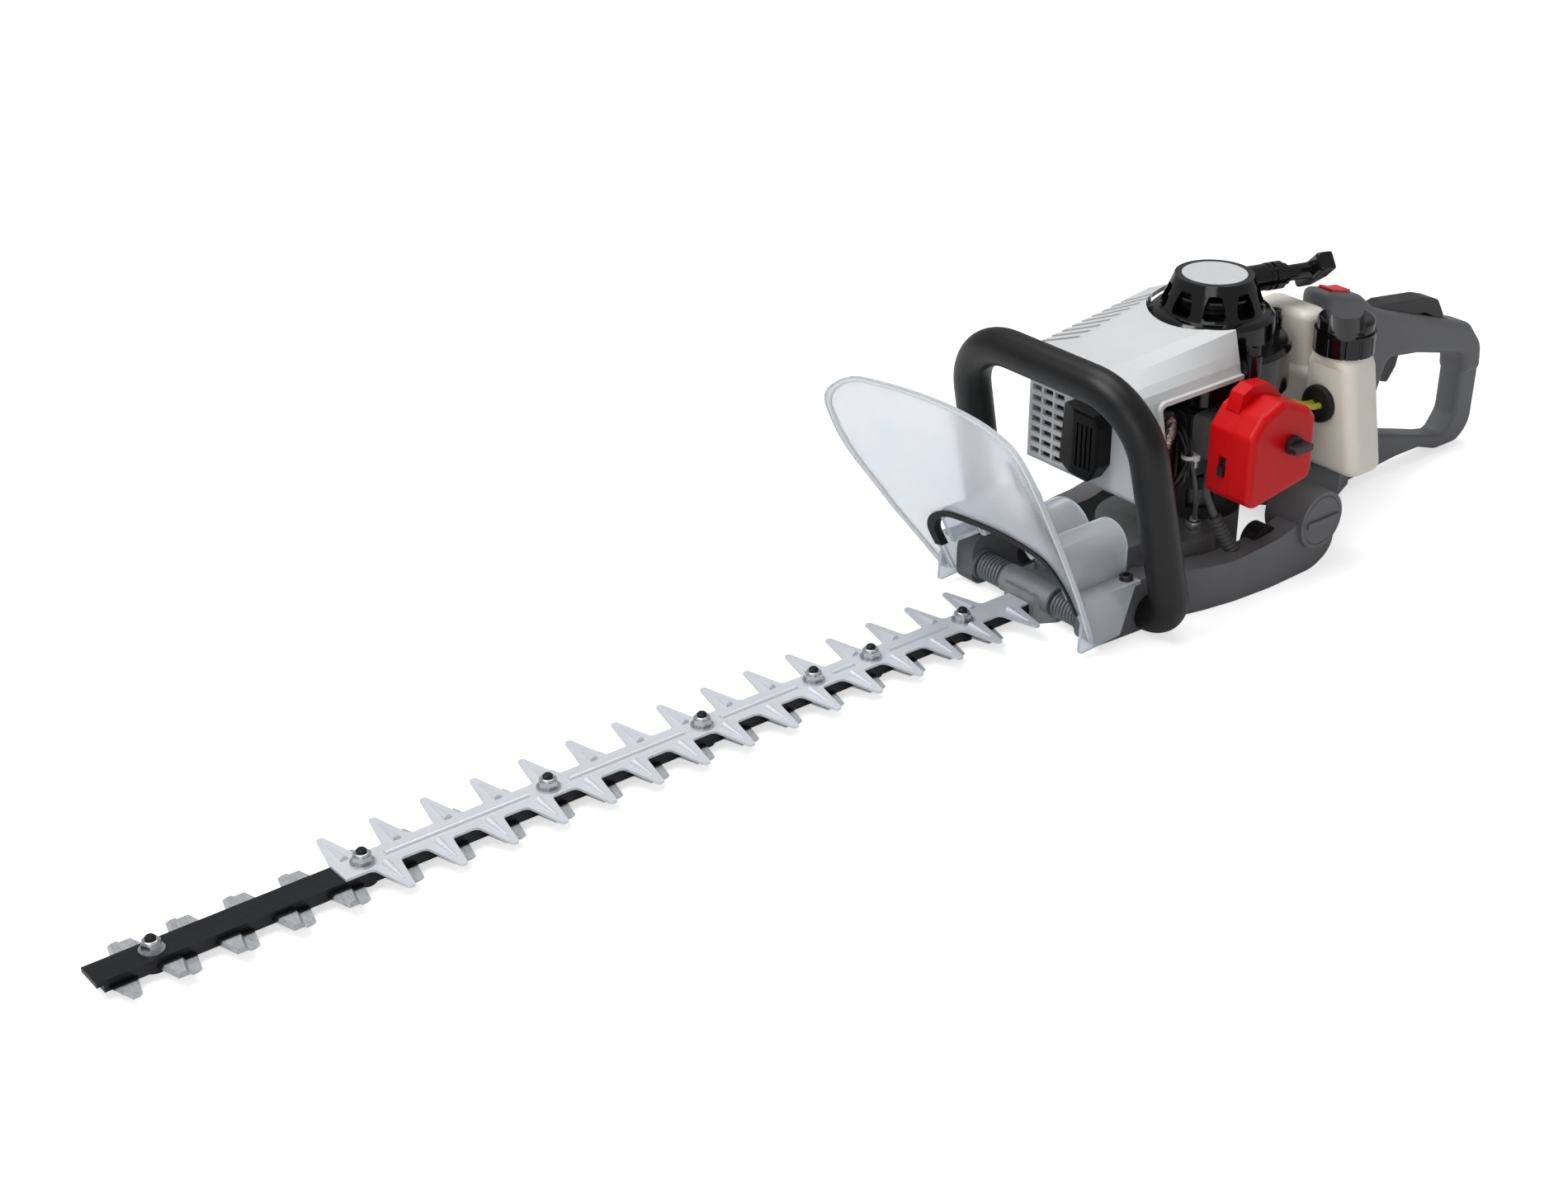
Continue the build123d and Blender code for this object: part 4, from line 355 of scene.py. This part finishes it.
def cord(name, route, radius, material, node=None):
    """A cord along its route in millimetres, out of the machine and back into it. Gives its smooth path."""
    curve = bpy.data.curves.new(name, "CURVE")
    curve.dimensions = "3D"
    line = curve.splines.new("NURBS")
    line.points.add(len(route) - 1)
    for point, (x, y, z) in zip(line.points, route):
        point.co = (x / 1000, y / 1000, z / 1000, 1.0)
    line.order_u = 3
    line.use_endpoint_u = True
    curve.resolution_u = 16
    made = bpy.data.objects.new(name, curve)
    scene.collection.objects.link(made)
    bpy.context.view_layer.update()
    thread = bpy.data.meshes.new_from_object(made.evaluated_get(bpy.context.evaluated_depsgraph_get()))
    path = [vert.co.copy() for vert in thread.vertices]
    bpy.data.meshes.remove(thread)
    curve.bevel_depth = radius
    curve.bevel_resolution = 5
    curve.use_fill_caps = True
    curve.materials.append(material)
    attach(made, "machine")
    if node:
        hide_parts(node)
    return path


for name, y in (("feed_hose", -54), ("return_hose", -48)):
    cord(name, [(59, y, 108), (45, y, 108), (30, y + 2, 116), (14, y + 6, 114), (-14, y + 6, 114)],
         HOSE_R, hose_plastic, "fuel_hoses")


# Ignition lead: stiff cable in satin black silicone, pushed into the coil under the starter and into the
# plug cap. It bows out past the fins in the cover's window.
LEAD_R = 0.0025
lead_cover = surface("silicone_cable_cover", "#1C1C1E", "#0F0F10", 8, 1.2, 0.01, (0.3, 0.42))
lead_path = cord("plug_lead", [(-90, -14, 98), (-90, -28, 98), (-83.56, -39.62, 107.67),
                               (-74.44, -39.62, 121.33), (-68, -28, 131), (-68, -13, 131)],
                 LEAD_R, lead_cover, "ignition_lead")


# Heat sleeve: aluminium foil wrapped round the lead where it passes the hot cylinder, bright and broken up
# by its crinkles. They are folds of 3 to 5 mm, in the mesh as well as in the bump.
FOIL_R, FOIL_FROM, FOIL_TO = 0.0046, 0.34, 0.82
FOLD_DEPTH, FOLD_ALONG, FOLD_AROUND = 0.12, (1.7, 0.9), (2.3, -1.1)
foil = surface("crinkled_foil", "#C9C6BE", "#8B8780", 5, 3.0, 0.9, (0.18, 0.32), Metallic=0.9)
shape = bmesh.new()
rings = []
for i in range(int(len(lead_path) * FOIL_FROM), int(len(lead_path) * FOIL_TO), 2):
    centre = lead_path[i]
    facing = (lead_path[i + 1] - lead_path[i - 1]).to_track_quat("Z", "Y").to_matrix().to_4x4()
    ring = bmesh.ops.create_circle(shape, cap_ends=False, segments=14, radius=FOIL_R,
                                   matrix=Matrix.Translation(centre) @ facing)["verts"]
    for k, vert in enumerate(ring):
        first, second = (along * i + around * k for along, around in zip(FOLD_ALONG, FOLD_AROUND))
        fold = 1 - FOLD_DEPTH + FOLD_DEPTH * math.sin(first) * math.cos(second)
        vert.co = centre + (vert.co - centre) * fold
    rings.append(ring)
for first, second in zip(rings, rings[1:]):
    loops = [edge for edge in shape.edges
             if all(v in first for v in edge.verts) or all(v in second for v in edge.verts)]
    bmesh.ops.bridge_loops(shape, edges=loops)
bmesh.ops.holes_fill(shape, edges=[e for e in shape.edges if e.is_boundary], sides=0)
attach(finished("foil_heat_sleeve", shape, foil), "machine")


# Stop and earth leads: two black wires and a grey one in satin PVC hang in front of the cylinder fins, held
# by a white nylon tie. The black ones go back between the fins, the grey one down to a zinc-plated stud and
# nut on the gear case.
STOP_LEAD_R, EARTH_LEAD_R = 0.0019, 0.0016
black_wire = surface("pvc_wire_cover", "#161617", "#0C0C0D", 8, 1.2, 0.01, (0.34, 0.46))
grey_wire = surface("grey_wire_cover", "#6A6B6E", "#57585B", 8, 1.2, 0.01, (0.36, 0.48))
cord("stop_lead", [(-58, -27, 120), (-59, -39, 114), (-59, -42, 98), (-68, -43, 87), (-72, -36, 76),
                   (-71, -26, 76)], STOP_LEAD_R, black_wire)
cord("switch_lead", [(-62, -27, 118), (-62, -39, 112), (-61, -42, 98), (-63, -43, 84), (-65, -37, 74),
                     (-64, -26, 75)], STOP_LEAD_R, black_wire)
cord("earth_lead", [(-55, -27, 116), (-56, -38, 110), (-57, -42, 98), (-55, -44, 86), (-48, -42, 66),
                    (-38, -33, 48), (-32.5, -27.5, 41)], EARTH_LEAD_R, grey_wire)
TIE_PLACE, TIE_R, TIE_WIDTH, TIE_WALL = Vector((-0.059, -0.042, 0.098)), 0.0042, 0.0026, 0.0009
LOCK_SIZE, LOCK_X, LOCK_OUT, LOCK_EDGE = (0.0044, 0.0034, 0.0040), 0.0008, 0.0014, 0.0005
TAIL_SIZE, TAIL_OUT, TAIL_DROP = (0.0022, 0.0008, 0.0050), 0.0016, 0.0028
tie_nylon = surface("white_nylon_tie", "#F1F1EE", "#E2E2DE", 6, 0.8, 0.01, (0.3, 0.42))
shape = bmesh.new()
section = [(TIE_R, 0), (TIE_R + TIE_WALL, 0), (TIE_R + TIE_WALL, TIE_WIDTH), (TIE_R, TIE_WIDTH)]
band = [shape.verts.new((r, 0, z)) for r, z in section]
hoop = [shape.edges.new(pair) for pair in zip(band, band[1:] + band[:1])]
bmesh.ops.spin(shape, geom=band + hoop, cent=(0, 0, 0), axis=(0, 0, 1), angle=math.tau, steps=28,
               use_merge=True)
head = Matrix.LocRotScale((LOCK_X, -TIE_R - LOCK_OUT, TIE_WIDTH / 2), None, LOCK_SIZE)
lock = bmesh.ops.create_cube(shape, size=1.0, matrix=head)["verts"]
edges = list({edge for vert in lock for edge in vert.link_edges})
bmesh.ops.bevel(shape, geom=edges, offset=LOCK_EDGE, affect="EDGES", segments=2, profile=0.5, material=-1)
tail = Matrix.LocRotScale((LOCK_X, -TIE_R - TAIL_OUT, -TAIL_DROP), None, TAIL_SIZE)
bmesh.ops.create_cube(shape, size=1.0, matrix=tail)
bmesh.ops.translate(shape, vec=TIE_PLACE, verts=shape.verts[:])
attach(finished("lead_tie", shape, tie_nylon), "machine")
NUT_PLACE = Vector((-0.032, -0.027, 0.034))
NUT_FLATS, NUT_HEIGHT, NUT_EDGE, STUD_R, STUD_HEIGHT = 0.010, 0.0055, 0.0004, 0.0025, 0.0085
shape = bmesh.new()
for sides, radius, height in ((6, NUT_FLATS / math.sqrt(3), NUT_HEIGHT), (20, STUD_R, STUD_HEIGHT)):
    bmesh.ops.create_cone(shape, cap_ends=True, segments=sides, radius1=radius, radius2=radius, depth=height,
                          matrix=Matrix.Translation((0, 0, height / 2)))
bmesh.ops.bevel(shape, geom=shape.edges[:], offset=NUT_EDGE, affect="EDGES", segments=2, profile=0.5,
                material=-1)
bmesh.ops.translate(shape, vec=NUT_PLACE, verts=shape.verts[:])
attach(finished("earth_nut", shape, zinc_plate), "machine")


# Throttle cable: a steel cable in a satin grey sheath that comes out of the frame through a ribbed sleeve
# of dull grey rubber, moulded and pushed on, and goes up to the carburettor.
CABLE_R = 0.0025
cable_sheath = surface("grey_cable_sheath", "#5A5B5E", "#47484B", 10, 1.0, 0.01, (0.36, 0.48))
cord("throttle_cable_sheath", [(-30.87, -61.50, 29.73), (-49.93, -50.61, 67.86), (-44, -46, 82),
                               (-44, -46, 92)], CABLE_R, cable_sheath, "throttle_cable")
SLEEVE_FOOT = Vector((-0.030, -0.062, 0.028))
SLEEVE_AXIS = Vector((-14, 8, 28))
SLEEVE_LENGTH, SLEEVE_RIBS = 0.032, 10
GROOVE_R, SHOULDER_R, RIB_R = 0.004, 0.0049, 0.0052
rib = SLEEVE_LENGTH / SLEEVE_RIBS
one_rib = [(0.0, GROOVE_R), (0.16, SHOULDER_R), (0.3, RIB_R), (0.55, RIB_R), (0.7, SHOULDER_R),
           (0.86, GROOVE_R)]
section = [(CABLE_R, 0.0)] + [(r, rib * (i + at)) for i in range(SLEEVE_RIBS) for at, r in one_rib]
section += [(GROOVE_R, SLEEVE_LENGTH), (CABLE_R, SLEEVE_LENGTH)]
shape = bmesh.new()
line = [shape.verts.new((r, 0, z)) for r, z in section]
rim = [shape.edges.new(pair) for pair in zip(line, line[1:] + line[:1])]
bmesh.ops.spin(shape, geom=line + rim, cent=(0, 0, 0), axis=(0, 0, 1), angle=math.tau, steps=32,
               use_merge=True)
turned = SLEEVE_AXIS.to_track_quat("Z", "Y").to_matrix().to_4x4()
bmesh.ops.transform(shape, matrix=Matrix.Translation(SLEEVE_FOOT) @ turned, verts=shape.verts[:])
sleeve_rubber = surface("grey_rubber", "#4B4C4E", "#38393B", 9, 0.9, 0.02, (0.45, 0.6))
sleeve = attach(finished("ribbed_cable_sleeve", shape, sleeve_rubber), "machine")
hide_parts("cable_sleeve")


# Starter disc: a round of spun aluminium let into the top of the starter, left bare.
# Pale, with a soft sheen.
spun_alloy = surface("spun_aluminium", "#ECEDEF", "#DCDEE1", 6, 0.8, 0.003, (0.3, 0.4), Metallic=0.35)
dress(spun_alloy, "starter_disc")


# Starter rope: nylon line laid from three strands, matt black, from the pulley out through the guide to the
# knot in the grip. It runs off the pulley as the grip is pulled, so it stretches between the two bodies here.
ROPE_START, ROPE_END = Vector((0.00504, 0.01759, 0.182)), Vector((0.08511, -0.00537, 0.182))
ROPE_R, ROPE_LAY, ROPE_GROOVE, ROPE_STEPS = 0.002, 0.012, 0.14, 80
STRANDS, STRAND_SIDES = 3, 6
laid_nylon = surface("laid_nylon", "#2B2B2B", "#101010", 2, 0.8, 0.1, (0.6, 0.8))
shape = bmesh.new()
ring = bmesh.ops.create_circle(shape, cap_ends=False, segments=STRANDS * STRAND_SIDES, radius=ROPE_R)["verts"]
for i, vert in enumerate(ring):
    vert.co *= 1.0 - ROPE_GROOVE * (i % STRAND_SIDES in (0, 1))
length = (ROPE_END - ROPE_START).length
bmesh.ops.spin(shape, geom=ring + shape.edges[:], cent=(0, 0, 0), axis=(0, 0, 1),
               dvec=(0, 0, length / ROPE_STEPS), angle=math.tau * length / ROPE_LAY, steps=ROPE_STEPS)
bmesh.ops.holes_fill(shape, edges=[e for e in shape.edges if e.is_boundary], sides=0)
turned = (ROPE_END - ROPE_START).to_track_quat("Z", "Y").to_matrix().to_4x4()
bmesh.ops.transform(shape, matrix=Matrix.Translation(ROPE_START) @ turned, verts=shape.verts[:])
rope = finished("pull_rope", shape, laid_nylon)
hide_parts("starter_rope")
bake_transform(rope)


# Front handle sleeve: a length of closed-cell rubber foam drawn over the steel loop, dull black,
# its skin finely pitted. It follows the loop's bends and stops where the feet go into the frame.
FOAM_R, BEND_RADII = 0.0125, (0.020, 0.044, 0.044, 0.020)
LOOP_FOOT_X, LOOP_LEAN = -0.1087, 0.222
half_loop = [(0.064, 0.0125), (0.085, 0.0125), (0.078, 0.171)]
whole_loop = half_loop + [(-y, z) for y, z in reversed(half_loop)]
corners = [Vector((LOOP_FOOT_X - LOOP_LEAN * z, y, z)) for y, z in whole_loop]
grip_foam = surface("closed_cell_foam", "#121213", "#0B0B0C", 6, 1.3, 0.04, (0.34, 0.46),
                    Specular_IOR_Level=0.4)
shape = bmesh.new()
heading = (corners[1] - corners[0]).normalized()
facing = heading.to_track_quat("Z", "Y").to_matrix().to_4x4()
ring = bmesh.ops.create_circle(shape, cap_ends=False, segments=40, radius=FOAM_R,
                               matrix=Matrix.Translation(corners[0]) @ facing)["verts"]
edges = shape.edges[:]
at = corners[0].copy()
for before, corner, after, radius in zip(corners, corners[1:], corners[2:], BEND_RADII):
    heading, leaving = (corner - before).normalized(), (after - corner).normalized()
    angle = heading.angle(leaving)
    bend_start = corner - heading * radius * math.tan(angle / 2)
    moved = bmesh.ops.extrude_edge_only(shape, edges=edges)["geom"]
    verts = [part for part in moved if isinstance(part, bmesh.types.BMVert)]
    bmesh.ops.translate(shape, vec=bend_start - at, verts=verts)
    edges = [part for part in moved if isinstance(part, bmesh.types.BMEdge)]
    edges = [edge for edge in edges if all(vert in verts for vert in edge.verts)]
    axis = heading.cross(leaving).normalized()
    turned = bmesh.ops.spin(shape, geom=verts + edges, cent=bend_start + axis.cross(heading) * radius,
                            axis=axis, angle=angle, steps=14)["geom_last"]
    edges = [part for part in turned if isinstance(part, bmesh.types.BMEdge)]
    at = corner + leaving * radius * math.tan(angle / 2)
moved = bmesh.ops.extrude_edge_only(shape, edges=edges)["geom"]
verts = [part for part in moved if isinstance(part, bmesh.types.BMVert)]
bmesh.ops.translate(shape, vec=corners[-1] - at, verts=verts)
bmesh.ops.holes_fill(shape, edges=[e for e in shape.edges if e.is_boundary], sides=0)
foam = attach(finished("foam_sleeve", shape, grip_foam), "machine")
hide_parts("front_handle_grip")


# Hand guard: vacuum-formed polypropylene sheet, milky clear, screwed to the frame by its foot. Its colour
# drifts in broad patches from white to pale blue, which are painted reflections and painted shade. Its rim,
# all but the bottom edge, is rolled into a thin bead, which catches the light.
GUARD_AXIS_X, GUARD_LEAN, GUARD_R = -0.335, 0.5, 0.18625
BEAD_R, LONG_EDGE, FOOT_TOP_Z, BOTTOM_Z = 0.0019, 0.02, 0.03, 0.02
sheet_with_painted_reflections = surface("milky_polypropylene_painted_reflections", "#FBFBFB", "#DEEAF6", 60, 3.0, 0.01, (0.07, 0.14), IOR=1.45,
                      Transmission_Weight=0.56)
dress(sheet_with_painted_reflections, "hand_guard")
rolled_rim = surface("rolled_polypropylene", "#F7F8FB", "#EEF1F6", 30, 2.0, 0.01, (0.12, 0.2), IOR=1.45,
                     Transmission_Weight=0.25)
shape = bmesh.new()
# Half the width, the height and the corner radius, in millimetres.
half_edge = [(70, 12, 2), (86, 56, 120), (100, 110, 120), (98, 150, 28), (76, 168, 28)]
around = half_edge + [(-y, z, r) for y, z, r in reversed(half_edge)]
corners = [shape.verts.new((0, y / 1000, z / 1000)) for y, z, r in around]
shape.faces.new(corners)
for vert, (y, z, radius) in zip(corners, around):
    first, second = [edge.other_vert(vert).co - vert.co for edge in vert.link_edges]
    reach = radius / 1000 * math.tan((math.pi - first.angle(second)) / 2)
    bmesh.ops.bevel(shape, geom=[vert], offset=reach, offset_type="OFFSET", affect="VERTICES", segments=10,
                    profile=0.5, material=-1)
bmesh.ops.inset_region(shape, faces=shape.faces[:], thickness=BEAD_R, use_boundary=True, use_even_offset=True)
inner = max(shape.faces, key=lambda part: len(part.verts))
runs = [e for e in inner.edges if e.calc_length() > LONG_EDGE and max(v.co.z for v in e.verts) > FOOT_TOP_Z]
bmesh.ops.subdivide_edges(shape, edges=runs, cuts=12)
inner = max(shape.faces, key=lambda part: len(part.verts))
loop = [corner.vert.co.copy() for corner in inner.loops]
shape.free()
bottom = max(range(len(loop)), key=lambda i: abs(loop[i].y - loop[i - 1].y) if loop[i].z < BOTTOM_Z else 0)
rim = loop[bottom:] + loop[:bottom]
curve = bpy.data.curves.new("guard_rim", "CURVE")
curve.dimensions = "3D"
line = curve.splines.new("POLY")
line.points.add(len(rim) - 1)
for point, place in zip(line.points, rim):
    x = GUARD_AXIS_X - GUARD_LEAN * place.z + math.sqrt(GUARD_R ** 2 - place.y ** 2)
    point.co = (x, place.y, place.z, 1.0)
curve.bevel_depth = BEAD_R
curve.bevel_resolution = 4
curve.use_fill_caps = True
curve.materials.append(rolled_rim)
bead = bpy.data.objects.new("guard_rim", curve)
scene.collection.objects.link(bead)
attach(bead, "machine")
